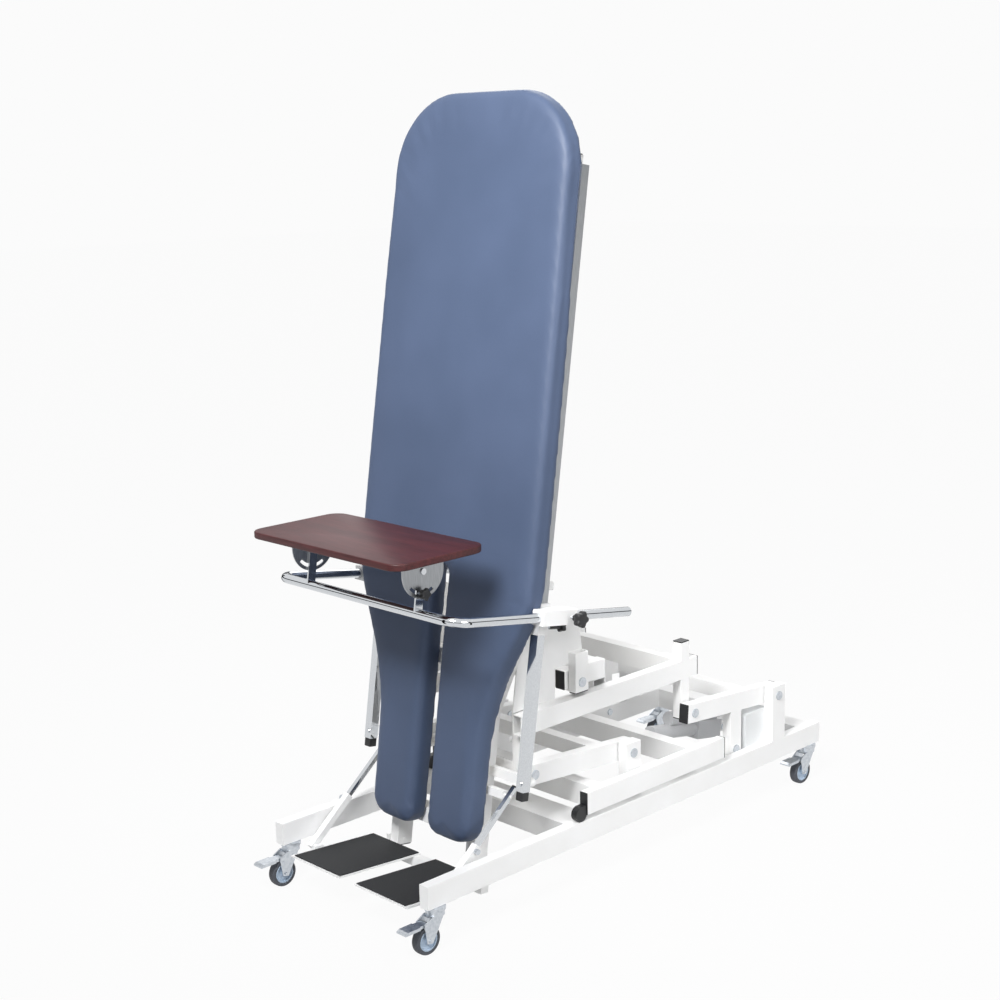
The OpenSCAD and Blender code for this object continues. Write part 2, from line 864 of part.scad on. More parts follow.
module lift_drive_rod() {
    color("silver") drive_rod(lift_pin, lift_rod_pin, eye_r + lift_slack, bolt_r + lift_slack);
}

module tilt_drive_body() {
    drive_body(front_top, tilt_rod_pin, shaft_r + 2*cap_t, shaft_r + fit);
}

module tilt_drive_rod() {
    lug_out = eye_w/2 + lug_gap + lug_t;
    color("silver") union() {
        drive_rod(front_top, tilt_rod_pin, eye_r, bolt_r);
        across(tilt_rod_pin, bolt_r, -lug_out - nut_h, lug_out + nut_h);
        both_sides() across(tilt_rod_pin, nut_r, lug_out + play, lug_out + nut_h);
    }
}

// Frame of the tilting top

function rail_y(s) = leg_out + (hip_out - leg_out)*(min(max(s, bend_s), hip_s) - bend_s)/(hip_s - bend_s);

// Outline of one side rail between two distances inside its outer edge
function rail_outline(edge, far_edge, end) = [
    [leg_out - edge, leg_foot - end], [leg_out - edge, bend_s], [hip_out - edge, hip_s],
    [hip_out - edge, frame_top + end], [hip_out - far_edge, frame_top + end],
    [hip_out - far_edge, hip_s], [leg_out - far_edge, bend_s], [leg_out - far_edge, leg_foot - end]];

module top_frame_rails() {
    color("whitesmoke") on_top() both_sides() difference() {
        slab(rail_outline(0, frame_w, 0), frame_n, frame_back);
        slab(rail_outline(tube_wall, frame_w - tube_wall, over),
            frame_n + tube_wall, frame_back - tube_wall);
        across([foot_hinge_n, foot_hinge_s], bolt_r + fit, 0, leg_out + over);
    }
}

// A tube between the two rails of the top, its ends following the bend of the rails
module top_bar(s) {
    s0 = s - top_bar_l/2;
    s1 = s + top_bar_l/2;
    y0 = rail_y(s0) - frame_w;
    y1 = rail_y(s1) - frame_w;
    difference() {
        slab([[-y0, s0], [y0, s0], [y1, s1], [-y1, s1]], frame_n, frame_back);
        slab([[-y1 - over, s0 + tube_wall], [y1 + over, s0 + tube_wall], [y1 + over, s1 - tube_wall],
            [-y1 - over, s1 - tube_wall]], frame_n + tube_wall, frame_back - tube_wall);
    }
}

// One of the two lugs behind a bar of the top, slotted for the pin of the tilt drive
module tilt_lug() {
    lug_in = eye_w/2 + lug_gap;
    slot_r = bolt_r + play;
    difference() {
        block(frame_back, tilt_pin_n + slot_back + slot_r + lug_edge, lug_in, lug_in + lug_t,
            tilt_pin_s - slot_down - slot_r - lug_edge, tilt_pin_s + slot_r + lug_edge);
        block(tilt_pin_n - slot_r, tilt_pin_n + slot_back + slot_r, lug_in - over, lug_in + lug_t + over,
            tilt_pin_s - slot_down - slot_r, tilt_pin_s + slot_r);
    }
}

// A flat bar behind a tray post, from the rail of the top to a rounded end
module post_bar(y0, s) {
    n0 = tray_post_n + tray_post_d/2;
    union() {
        block(n0, frame_back - over, y0, tray_post_y, s - post_bar_l/2, s + post_bar_l/2);
        translate([n0, tray_post_y, s]) rotate([0, 90, 0])
            cylinder(r = post_bar_l/2, h = frame_back - over - n0, $fn = smooth);
    }
}

module top_frame_bars() {
    color("whitesmoke") on_top() {
        for (s = top_bars) top_bar(s);
        both_sides() {
            tilt_lug();
            post_bar(leg_out, post_bar_s);
            post_bar(hip_out, tray_post_top - post_bar_l/2);
            union() {
                block(strut_n - strut_arm_h/2, strut_n + strut_arm_h/2, leg_out,
                    strut_y - strut_w/2 - side_gap, strut_s - strut_arm_h/2, strut_s + strut_arm_h/2);
                across([strut_n, strut_s], strut_pin_r, leg_out + over, strut_y + strut_w/2 + over);
            }
        }
    }
}

module top_side_plates() {
    low = top_place(frame_back, plate_low_s) - tilt_axis;
    high = top_place(frame_back, plate_high_s) - tilt_axis;
    color("whitesmoke") translate([tilt_axis[0], 0, tilt_axis[1]]) both_sides() {
        plate_across(concat([low], plate_edge, [high]), plate_in, post_in);
        difference() {
            tube_z(-post_l/2, post_l/2, post_in, post_out, -post_foot, post_head);
            across([0, 0], bolt_r + fit, post_in - over, post_out + over);
        }
    }
}

// Cushion and board: one outline, drawn in by a given inset

function arc(cy, cs, r, from, to) = [
    for (k = [0:arc_steps])
        let (turn = from + (to - from)*k/arc_steps) [cy, cs] + r*[cos(turn), sin(turn)]];

head_half = width_shares[len(width_shares) - 1][1]*pad_w/2;
slot_end = slot_l - slot_w/2;
right_edge = concat(
    [for (k = [leg_count - 1:-1:0]) [slot_w/2, slot_end*width_shares[k][0]/width_shares[leg_count][0]]],
    arc(slot_w/2 + inner_toe_r, inner_toe_r, inner_toe_r, 180, 270),
    arc(legs_share*pad_w/2 - toe_r, toe_r, toe_r, 270, 360),
    [for (share = width_shares) [share[1]*pad_w/2, share[0]*pad_l]],
    arc(head_half - head_corner_r, pad_l - head_corner_r, head_corner_r, 0, 90));
left_edge = [for (k = [len(right_edge) - 1:-1:0]) [-right_edge[k][0], right_edge[k][1]]];
edge = concat(right_edge, left_edge, arc(0, slot_end, slot_w/2, 180, 0));

// Strips that fill the outline: the right leg from its toe up, the same mirrored, and the body
both_edges = len(right_edge) + len(left_edge);
toe_at = leg_count + arc_steps;
crotch_at = 2*(toe_at + 1);
slot_top = both_edges + arc_steps/2;
leg_strips = concat(
    [for (k = [0:toe_at - 1]) [toe_at - k, toe_at + 1 + k, toe_at + 2 + k, toe_at - 1 - k]],
    [[0, crotch_at - 1, crotch_at], [0, crotch_at, both_edges + arc_steps]],
    [for (k = [slot_top + 1:both_edges + arc_steps]) [k, crotch_at, k - 1]],
    [[slot_top, crotch_at, crotch_at + 1]]);
function facing(k) = k < both_edges ? both_edges - 1 - k : 2*both_edges + arc_steps - k;
other_leg_strips = [for (strip = leg_strips) [for (k = [len(strip) - 1:-1:0]) facing(strip[k])]];
body_strips = [
    for (k = [crotch_at + 1:len(right_edge) - 2]) [facing(k), k, k + 1, facing(k + 1)]];
strips = concat(
    leg_strips, other_leg_strips, [[slot_top, crotch_at + 1, facing(crotch_at + 1)]], body_strips);

function inset_edge(inset) = [
    for (k = [0:len(edge) - 1])
        let (
            before = edge[(k + len(edge) - 1) % len(edge)],
            after = edge[(k + 1) % len(edge)],
            run = (after - before)/norm(after - before))
        edge[k] + inset*[-run[1], run[0]]];

module pad_board() {
    color("burlywood") on_top() slab(inset_edge(board_inset), pad_t, frame_n);
}

module pad() {
    count = len(edge);
    last = len(ring_shares) - 1;
    points = [
        for (ring = ring_shares)
            for (p = inset_edge(ring[0]*crown_inset)) [ring[1]*pad_t, p[0], p[1]]];
    back = [for (strip = strips) [for (k = [len(strip) - 1:-1:0]) strip[k]]];
    face = [for (strip = strips) [for (k = strip) last*count + k]];
    sides = [
        for (ring = [0:last - 1])
            for (k = [0:count - 1])
                let (a = ring*count + k, b = ring*count + (k + 1) % count)
                each [[a, b, b + count], [a, b + count, a + count]]];
    color("slateblue") on_top() polyhedron(points, concat(back, face, sides), convexity = 6);
}

module side_rails() {
    spacer_pitch = (side_rail_l - 5*spacer_l)/(spacer_count - 1);
    color("silver") on_top() both_sides() {
        block(side_rail_n, side_rail_n + side_rail_h, side_rail_out - side_rail_t, side_rail_out,
            side_rail_s, side_rail_s + side_rail_l);
        for (k = [0:spacer_count - 1])
            translate([frame_n + over, hip_out, side_rail_s + 3*spacer_l + k*spacer_pitch])
                cube([spacer_t, side_rail_out - side_rail_t - hip_out, spacer_l]);
    }
}

// Tray

module tray_posts() {
    y0 = tray_post_y - tray_post_d/2;
    n0 = tray_post_n - tray_post_d/2;
    color("silver") on_top() both_sides() {
        tube_z(n0, n0 + tray_post_d, y0, y0 + tray_post_d, tray_post_foot, tray_post_top);
        translate([n0 - head_h, tray_post_y, post_bar_s]) rotate([0, 90, 0])
            cylinder(r = post_screw_r, h = head_h, $fn = smooth);
    }
}

module tray_holders() {
    inner = tray_post_d/2 + play;
    outer = inner + holder_wall;
    sleeve = tray_tube_d/2 + play + sleeve_wall;
    color("whitesmoke") on_top() both_sides() difference() {
        union() {
            block(tray_post_n - outer, tray_post_n + outer, tray_post_y - outer, tray_post_y + outer,
                holder_s, holder_s + holder_h);
            block(tray_post_n - outer, tray_post_n + outer, tray_post_y, tray_tube_y,
                tray_tube_s - sleeve, tray_tube_s + sleeve);
            block(sleeve_n, sleeve_n + sleeve_l, tray_tube_y - sleeve, tray_tube_y + sleeve,
                tray_tube_s - sleeve, tray_tube_s + sleeve);
        }
        block(tray_post_n - inner, tray_post_n + inner, tray_post_y - inner, tray_post_y + inner,
            holder_s - over, holder_s + holder_h + over);
        translate([sleeve_n - over, tray_tube_y, tray_tube_s]) rotate([0, 90, 0])
            cylinder(r = tray_tube_d/2 + play, h = sleeve_l + 2*over, $fn = smooth);
        across([reach_knob_n, tray_tube_s], knob_stud_r + fit, tray_tube_y, tray_tube_y + sleeve + over);
        translate([tray_post_n, tray_post_y, height_knob_s]) rotate([0, 90, 0])
            cylinder(r = knob_stud_r + fit, h = outer + over, $fn = smooth);
    }
}

// One half of the bent tube, as a full round of the given radius
module half_bent_tube(r, end) {
    bend_n = tray_tube_n + tray_bend_r;
    bend_y = tray_tube_y - tray_bend_r;
    translate([bend_n, tray_tube_y, tray_tube_s]) rotate([0, 90, 0])
        cylinder(r = r, h = tray_tube_l - tray_bend_r + end, $fn = smooth);
    translate([bend_n, bend_y, tray_tube_s]) rotate([0, 0, 90])
        rotate_extrude(angle = 90, $fn = 2*smooth) translate([tray_bend_r, 0]) circle(r = r, $fn = smooth);
    across([tray_tube_n, tray_tube_s], r, -over, bend_y);
}

module tray_tube() {
    color("silver") on_top() difference() {
        both_sides() half_bent_tube(tray_tube_d/2, 0);
        both_sides() half_bent_tube(tray_tube_d/2 - tube_wall, over);
    }
}

module tray_stands() {
    lock_s = tray_pivot_s - disc_slot_r;
    out = stand_y + stand_t + play + disc_t;
    color("whitesmoke") on_top() difference() {
        both_sides() union() {
            difference() {
                block(tray_tube_n - stand_l/2, tray_tube_n + stand_l/2, stand_y, stand_y + stand_t,
                    tray_tube_s, tray_pivot_s);
                across([tray_tube_n, tray_tube_s], tray_tube_d/2, stand_y - over, stand_y + stand_t + over);
            }
            across([tray_tube_n, tray_pivot_s], stand_l/2, stand_y, stand_y + stand_t);
            across([tray_tube_n, tray_pivot_s], knob_stud_r, stand_y, out + play + head_h);
            across([tray_tube_n, tray_pivot_s], 2*knob_stud_r, out + play, out + play + head_h);
        }
        across([tray_tube_n, lock_s], knob_stud_r + fit, -stand_y - stand_t - over, over - stand_y);
    }
}

// One half disc under the board, slotted about the pivot, with its flange
module tray_disc() {
    y0 = stand_y + stand_t + play;
    under = board_drop;
    union() {
        difference() {
            union() {
                across([0, 0], disc_r, y0, y0 + disc_t);
                block(-disc_r, disc_r, y0, y0 + disc_t, 0, under);
            }
            block(-disc_r - over, disc_r + over, y0 - over, y0 + disc_t + over, under, disc_r + over);
            across([0, 0], knob_stud_r + fit, y0 - over, y0 + disc_t + over);
            translate([0, y0 + disc_t + over, 0]) rotate([90, 0, 0])
                rotate([0, 0, 270 - lean - disc_turn]) rotate_extrude(angle = 2*disc_turn, $fn = 2*smooth)
                    translate([disc_slot_r - disc_slot_w/2, 0]) square([disc_slot_w, disc_t + 2*over]);
        }
        block(-disc_r, disc_r, y0 + disc_t - flange_w, y0 + disc_t, under - disc_t, under);
    }
}

module tray_discs() {
    color("silver") translate([tray_pivot[0], 0, tray_pivot[1]]) both_sides() tray_disc();
}

module tray_board() {
    r = tray_corner_r;
    color("maroon") translate([tray_pivot[0] - tray_d/2, -tray_w/2, tray_pivot[1] + board_drop])
        linear_extrude(tray_t) union() {
            translate([r, 0]) square([tray_d - 2*r, tray_w]);
            translate([0, r]) square([tray_d, tray_w - 2*r]);
            for (x = [r, tray_d - r])
                for (y = [r, tray_w - r]) translate([x, y]) circle(r = r, $fn = smooth);
        }
}

// Footplates

module foot_frame() {
    far = foot_back + foot_l;
    plate_out = foot_gap/2 + foot_w;
    lug_in = leg_out + play + over;
    bar_top = -mat_t - foot_plate_t;
    color("whitesmoke") on_foot() union() {
        block(-foot_back - foot_bar_l, -foot_back, -plate_out, plate_out, bar_top - foot_bar_l, bar_top);
        both_sides() {
            block(-far, -foot_back, foot_gap/2, plate_out, bar_top, -mat_t);
            block(-foot_back - over, 0, lug_in, lug_in + foot_lug_t, -foot_lug_r, foot_lug_r);
            across([0, 0], foot_lug_r, lug_in, lug_in + foot_lug_t);
            across([0, 0], bolt_r, leg_out - frame_w - over, lug_in + over);
            block(-strut_arm - foot_lug_r, foot_lug_r - strut_arm, plate_out - foot_lug_t,
                strut_y - strut_w/2 - side_gap, bar_top, strut_pin_r);
            across([-strut_arm, 0], strut_pin_r, plate_out - over, strut_y + strut_w/2 + over);
        }
    }
}

module foot_mats() {
    far = foot_back + foot_l;
    color("dimgray") on_foot() both_sides()
        block(mat_inset - far, -foot_back - mat_inset, foot_gap/2 + mat_inset,
            foot_gap/2 + foot_w - foot_lug_t - mat_inset, -mat_t, 0);
}

// Struts: a square sleeve from the footplate and a square rod from the top

module strut_sleeves() {
    color("whitesmoke") along(strut_low, strut_high) both_sides() difference() {
        block(-strut_w/2, strut_w/2, strut_y - strut_w/2, strut_y + strut_w/2,
            -strut_w/2, sleeve_share*strut_l);
        block(-rod_w/2 - play, rod_w/2 + play, strut_y - rod_w/2 - play, strut_y + rod_w/2 + play,
            strut_w/2, sleeve_share*strut_l + over);
        across([0, 0], strut_pin_r + fit, strut_y - strut_w, strut_y + strut_w);
        across([0, foot_knob_at], knob_stud_r + fit, strut_y, strut_y + strut_w);
    }
}

module strut_rods() {
    color("silver") along(strut_low, strut_high) both_sides() difference() {
        block(-rod_w/2, rod_w/2, strut_y - rod_w/2, strut_y + rod_w/2, rod_foot_share*strut_l,
            strut_l + rod_head_l);
        across([0, strut_l], strut_pin_r + fit, strut_y - rod_w, strut_y + rod_w);
    }
}

// Knobs, drawn on z with the stud pointing down from the origin

module star_knob(share, stem, stud) {
    r = share*knob_r;
    color("black") union() {
        translate([0, 0, -stud]) cylinder(r = knob_stud_r, h = stud + stem + over, $fn = smooth);
        cylinder(r = knob_hub_r*share, h = stem + over, $fn = smooth);
        translate([0, 0, stem]) linear_extrude(share*knob_t) {
            circle(r = r*(1 - lobe_share), $fn = smooth);
            for (k = [1:lobes]) rotate(k*360/lobes) translate([r*(1 - lobe_share), 0])
                circle(r = r*lobe_share, $fn = smooth);
        }
    }
}

module reach_knob(side) {
    sleeve = tray_tube_d/2 + play + sleeve_wall;
    on_top() translate([reach_knob_n, side*(tray_tube_y + sleeve + play), tray_tube_s])
        rotate([-side*90, 0, 0]) star_knob(1, reach_stem, sleeve_wall);
}

module height_knob() {
    outer = tray_post_d/2 + play + holder_wall;
    on_top() translate([tray_post_n + outer + play, -tray_post_y, height_knob_s])
        rotate([0, 90, 0]) star_knob(small_share, height_stem, holder_wall);
}

module angle_knob() {
    on_top() translate([tray_tube_n, -(stand_y + stand_t + disc_t + 2*play), tray_pivot_s - disc_slot_r])
        rotate([90, 0, 0]) star_knob(small_share, angle_stem, stand_t + disc_t + play);
}

// A round lock screw on the outer face of a strut sleeve
module foot_knob(side) {
    stud = (strut_w - rod_w)/2 - play;
    color("silver") along(strut_low, strut_high)
        translate([0, side*(strut_y + strut_w/2 + play), foot_knob_at]) rotate([-side*90, 0, 0]) union() {
            translate([0, 0, -stud]) cylinder(r = knob_stud_r, h = stud + over, $fn = smooth);
            cylinder(r = screw_r, h = screw_l, $fn = smooth);
        }
}

translate([-middle_x, 0, 0]) {
    base_rails();
    base_cross_tubes();
    base_posts();
    base_bolts();
    control_box();
    mains_inlet();
    castor_at(castor_front_x, 1) fork();  // fork_front_left
    castor_at(castor_front_x, -1) fork();  // fork_front_right
    castor_at(castor_rear_x, 1) fork();  // fork_rear_left
    castor_at(castor_rear_x, -1) fork();  // fork_rear_right
    castor_at(castor_front_x, 1) tyre();  // tyre_front_left
    castor_at(castor_front_x, -1) tyre();  // tyre_front_right
    castor_at(castor_rear_x, 1) tyre();  // tyre_rear_left
    castor_at(castor_rear_x, -1) tyre();  // tyre_rear_right
    castor_at(castor_front_x, 1) hub();  // hub_front_left
    castor_at(castor_front_x, -1) hub();  // hub_front_right
    castor_at(castor_rear_x, 1) hub();  // hub_rear_left
    castor_at(castor_rear_x, -1) hub();  // hub_rear_right
    castor_at(castor_front_x, 1) pedal();  // pedal_front_left
    castor_at(castor_front_x, -1) pedal();  // pedal_front_right
    castor_at(castor_rear_x, 1) pedal();  // pedal_rear_left
    castor_at(castor_rear_x, -1) pedal();  // pedal_rear_right
    rear_rocker();
    rear_rocker_caps();
    front_rocker();
    upper_rails();
    upper_cross_tubes();
    upper_posts();
    upper_end_caps();
    upper_bolts();
    carriage_tubes();
    carriage_cross_tubes();
    carriage_glides();
    carriage_bolts();
    lift_drive_body();
    lift_drive_rod();
    tilt_drive_body();
    tilt_drive_rod();
    top_frame_rails();
    top_frame_bars();
    top_side_plates();
    pad_board();
    pad();
    side_rails();
    tray_posts();
    strut_rods();
    tray_holders();
    tray_tube();
    tray_stands();
    tray_board();
    tray_discs();
    foot_frame();
    foot_mats();
    strut_sleeves();
    reach_knob(1);  // reach_knob_left
    reach_knob(-1);  // reach_knob_right
    height_knob();
    angle_knob();
    foot_knob(1);  // foot_knob_left
    foot_knob(-1);  // foot_knob_right
}
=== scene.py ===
"""Physiotherapy tilt table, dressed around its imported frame. Metres, +X to the base's head end, +Z up."""
import math

import bmesh
import bpy
import numpy as np
from mathutils import Matrix, Vector


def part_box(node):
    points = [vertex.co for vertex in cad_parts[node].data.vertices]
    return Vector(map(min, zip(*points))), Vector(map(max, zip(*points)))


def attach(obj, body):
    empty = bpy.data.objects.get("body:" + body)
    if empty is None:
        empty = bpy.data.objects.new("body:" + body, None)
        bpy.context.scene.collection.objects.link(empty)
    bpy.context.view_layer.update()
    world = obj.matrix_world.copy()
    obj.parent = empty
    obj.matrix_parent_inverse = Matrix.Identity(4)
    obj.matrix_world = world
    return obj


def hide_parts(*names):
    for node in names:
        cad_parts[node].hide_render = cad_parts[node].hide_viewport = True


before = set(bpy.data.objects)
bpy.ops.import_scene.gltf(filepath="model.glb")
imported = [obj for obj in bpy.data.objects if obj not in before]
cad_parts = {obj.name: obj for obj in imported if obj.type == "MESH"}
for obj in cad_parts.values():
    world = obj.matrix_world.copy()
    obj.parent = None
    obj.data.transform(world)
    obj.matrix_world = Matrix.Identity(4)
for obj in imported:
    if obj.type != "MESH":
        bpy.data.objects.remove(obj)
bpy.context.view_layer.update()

scene = bpy.context.scene
MM = 0.001
SIDES = (("left", 1), ("right", -1))

# Camera: the photograph's eye point, turn, dip and tilt, and its lens

EYE = Vector((-3.2365, -3.1294, 1.9017))
TURN, DIP, TILT = 0.800676, 0.205492, -0.0222808
LENS, SENSOR_WIDTH = 60.64, 36
CAMERA_REACH = 60


def photo_camera():
    """A camera that looks along the direction turned by TURN about Z and dipped by DIP, rolled by TILT."""
    ahead = Vector((math.cos(TURN)*math.cos(DIP), math.sin(TURN)*math.cos(DIP), -math.sin(DIP)))
    level = ahead.cross(Vector((0, 0, 1))).normalized()
    above = level.cross(ahead)
    right = math.cos(TILT)*level + math.sin(TILT)*above
    up = -math.sin(TILT)*level + math.cos(TILT)*above
    data = bpy.data.cameras.new("photo_camera")
    data.lens = LENS
    data.sensor_width = SENSOR_WIDTH
    data.clip_end = CAMERA_REACH
    camera = bpy.data.objects.new("photo_camera", data)
    camera.matrix_world = Matrix.Translation(EYE) @ Matrix((right, up, -ahead)).transposed().to_4x4()
    scene.collection.objects.link(camera)
    scene.camera = camera


# The tilting top: n is the distance behind the cushion's face and s the distance up from its foot

LEAN = math.radians(9.1)
TOP_FOOT = np.array([-0.538214, 0.0, 0.172410])
ALONG_N = np.array([math.cos(LEAN), 0.0, -math.sin(LEAN)])
ALONG_S = np.array([math.sin(LEAN), 0.0, math.cos(LEAN)])
ALONG_Y = np.array([0.0, 1.0, 0.0])


def top_place(n, y, s):
    """The place of a point of the tilting top: its foot plus n, y and s along the top's own axes."""
    n, y, s = (np.asarray(value, float)[..., None] for value in (n, y, s))
    return TOP_FOOT + n*ALONG_N + y*ALONG_Y + s*ALONG_S


# Meshes

MERGE_DISTANCE = 0.01*MM
EASE_STEPS = 3


def piece_from(name, points, faces, smooth_angle=35):
    """A mesh object from points and faces, its seams and poles merged, its faces turned outwards and its
    edges sharp where they turn more than the given angle."""
    mesh = bpy.data.meshes.new(name)
    mesh.from_pydata(np.asarray(points, float).reshape(-1, 3), [], faces)
    work = bmesh.new()
    work.from_mesh(mesh)
    bmesh.ops.remove_doubles(work, verts=work.verts, dist=MERGE_DISTANCE)
    bmesh.ops.recalc_face_normals(work, faces=work.faces)
    work.to_mesh(mesh)
    work.free()
    mesh.shade_smooth()
    mesh.set_sharp_from_angle(angle=math.radians(smooth_angle))
    piece = bpy.data.objects.new(name, mesh)
    scene.collection.objects.link(piece)
    return piece


def grid_faces(rows, columns):
    """Quads between neighbouring rows and columns of a grid of points."""
    corner = (np.arange(rows - 1)[:, None]*columns + np.arange(columns - 1)).ravel()
    return np.stack([corner, corner + 1, corner + columns + 1, corner + columns], axis=1).tolist()


def surface(name, grid, smooth_angle=35):
    """A piece whose points are a grid over two parameters."""
    rows, columns, _ = grid.shape
    return piece_from(name, grid, grid_faces(rows, columns), smooth_angle)


def spokes(axis, side, angle):
    """Unit vectors square to the axis, turned round it by each angle from the side."""
    return np.cos(angle)[:, None]*side + np.sin(angle)[:, None]*np.cross(axis, side)


def turned(profile, centre, axis, side, steps):
    """Points of a turned shape: radius and height pairs carried once round the axis through the centre.
    A point is centre + height*axis + radius*spoke."""
    axis, side = np.asarray(axis, float), np.asarray(side, float)
    round_it = spokes(axis, side, np.linspace(0, 2*math.pi, steps + 1))
    profile = np.asarray(profile, float)
    return np.asarray(centre) + profile[:, 1, None, None]*axis + profile[:, 0, None, None]*round_it


def rounded_rectangle(width, depth, corner, steps=6):
    """Closed outline of a rectangle with round corners: four quarter circles about the corners' centres."""
    turn = np.linspace(0, math.pi/2, steps)
    quarter = corner*np.stack([np.cos(turn), np.sin(turn)], axis=1)
    parts = []
    for k, (sign_x, sign_y) in enumerate([(1, 1), (-1, 1), (-1, -1), (1, -1)]):
        c, s = math.cos(k*math.pi/2), math.sin(k*math.pi/2)
        centre = [sign_x*(width/2 - corner), sign_y*(depth/2 - corner)]
        parts.append(quarter @ np.array([[c, s], [-s, c]]) + centre)
    outline = np.concatenate(parts)
    return np.concatenate([outline, outline[:1]])


def rounded_block(name, centre, first, second, third, size, corner, edge):
    """A block with round upright edges and eased ends: towards each end its outline in the first and second
    direction shrinks by edge*(1 - cos a) while its height grows by edge*sin a. Both ends close in their
    middle, which an inset of 1 stands for."""
    width, depth, height = size
    ease = np.linspace(0, math.pi/2, EASE_STEPS + 1)
    inset = np.concatenate([[1], edge*(1 - np.cos(ease[::-1])), edge*(1 - np.cos(ease)), [1]])
    level = np.concatenate([[-height/2], edge*(1 - np.sin(ease[::-1])) - height/2,
                            height/2 - edge*(1 - np.sin(ease)), [height/2]])
    outline = rounded_rectangle(width, depth, corner)
    rows = []
    for pull, rise in zip(inset, level):
        share = np.zeros(2) if pull == 1 else 1 - 2*pull/np.array([width, depth])
        flat = outline*share
        rows.append(np.asarray(centre) + flat[:, :1]*first + flat[:, 1:]*second + rise*np.asarray(third))
    return surface(name, np.array(rows))


def add_piece(piece, body, material, stands_for=()):
    """Gives a finished piece its material, its body and the nodes that it stands for."""
    piece.data.materials.clear()
    piece.data.materials.append(material)
    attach(piece, body)
    if stands_for:
        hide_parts(*stands_for)


# Materials

def linear(hex_colour):
    """Linear RGBA of an sRGB hex colour."""
    parts = np.array([int(hex_colour[k:k + 2], 16)/255 for k in (0, 2, 4)])
    light = np.where(parts <= 0.04045, parts/12.92, ((parts + 0.055)/1.055)**2.4)
    return (*light.tolist(), 1.0)


def add_node(tree, kind, settings=None, values=None, links=None):
    """Adds a node: settings are its own choices, values go on its sockets, links come from other sockets."""
    node = tree.nodes.new(kind)
    for name, value in (settings or {}).items():
        setattr(node, name, value)
    for name, value in (values or {}).items():
        node.inputs[name].default_value = value
    for name, source in (links or {}).items():
        tree.links.new(source, node.inputs[name])
    return node


def new_material(name, **values):
    """A material with one Principled shader, whose plain values sit on its own sockets."""
    material = bpy.data.materials.new(name)
    material.use_nodes = True
    tree = material.node_tree
    tree.nodes.clear()
    shader = add_node(tree, "ShaderNodeBsdfPrincipled", values=values)
    add_node(tree, "ShaderNodeOutputMaterial", links={"Surface": shader.outputs["BSDF"]})
    place = add_node(tree, "ShaderNodeTexCoord").outputs["Object"]
    return material, tree, shader, place


def per_mm(size):
    """Texture scale at which one feature is about the given number of millimetres."""
    return 1/(size*MM)


def two_tones(tree, factor, first, second, low=0.3, high=0.7):
    """A ramp from one hex colour to another over the middle of a pattern."""
    ramp = add_node(tree, "ShaderNodeValToRGB", links={"Fac": factor})
    ramp.color_ramp.elements[0].position = low
    ramp.color_ramp.elements[0].color = linear(first)
    ramp.color_ramp.elements[1].position = high
    ramp.color_ramp.elements[1].color = linear(second)
    return ramp.outputs["Color"]


def powder_coated_steel():
    """White polyester powder coat on steel tube: a semi-gloss skin with a faint orange peel about 2 mm
    across, which blurs reflections a little, and tones that drift over a hand's width."""
    material, tree, shader, place = new_material("powder_coated_steel", Roughness=0.36, IOR=1.5)
    drift = add_node(tree, "ShaderNodeTexNoise", values={"Scale": per_mm(150), "Detail": 2.0},
                     links={"Vector": place})
    peel = add_node(tree, "ShaderNodeTexNoise", values={"Scale": per_mm(2.2), "Detail": 1.0},
                    links={"Vector": place})
    bump = add_node(tree, "ShaderNodeBump", values={"Strength": 0.12, "Distance": 0.1*MM},
                    links={"Height": peel.outputs["Fac"]})
    tree.links.new(two_tones(tree, drift.outputs["Fac"], "F1F1F0", "F6F6F6"), shader.inputs["Base Color"])
    tree.links.new(bump.outputs["Normal"], shader.inputs["Normal"])
    return material


def moulded_nylon():
    """Black glass-filled nylon, moulded: plugs and knobs with a fine spark-eroded grain, drawn at 1 mm so
    that it shows."""
    material, tree, shader, place = new_material("moulded_nylon", Roughness=0.46, IOR=1.53)
    grain = add_node(tree, "ShaderNodeTexNoise", values={"Scale": per_mm(1.0), "Detail": 2.0},
                     links={"Vector": place})
    bump = add_node(tree, "ShaderNodeBump", values={"Strength": 0.25, "Distance": 0.08*MM},
                    links={"Height": grain.outputs["Fac"]})
    tree.links.new(two_tones(tree, grain.outputs["Fac"], "17181A", "212225"), shader.inputs["Base Color"])
    tree.links.new(bump.outputs["Normal"], shader.inputs["Normal"])
    return material


def zinc_plated_steel():
    """Zinc-plated pressed steel and bolts: a bright grey metal, which its passivation clouds in patches of
    8 mm."""
    material, tree, shader, place = new_material("zinc_plated_steel", Metallic=1.0)
    cloud = add_node(tree, "ShaderNodeTexNoise", values={"Scale": per_mm(8), "Detail": 3.0},
                     links={"Vector": place})
    dull = add_node(tree, "ShaderNodeMapRange", values={"To Min": 0.22, "To Max": 0.4},
                    links={"Value": cloud.outputs["Fac"]})
    tree.links.new(two_tones(tree, cloud.outputs["Fac"], "BCC2C9", "D6DADF"), shader.inputs["Base Color"])
    tree.links.new(dull.outputs["Result"], shader.inputs["Roughness"])
    return material


def chrome_plated_tube():
    """Chromium plate on polished tube: a near mirror with a cool tint and faint polishing marks 3 mm
    across."""
    material, tree, shader, place = new_material("chrome_plated_tube", Metallic=1.0)
    streak = add_node(tree, "ShaderNodeTexNoise", values={"Scale": per_mm(3), "Detail": 1.0},
                      links={"Vector": place})
    polish = add_node(tree, "ShaderNodeMapRange", values={"To Min": 0.06, "To Max": 0.11},
                      links={"Value": streak.outputs["Fac"]})
    tree.links.new(two_tones(tree, streak.outputs["Fac"], "CBCED2", "D2D5D8"), shader.inputs["Base Color"])
    tree.links.new(polish.outputs["Result"], shader.inputs["Roughness"])
    return material


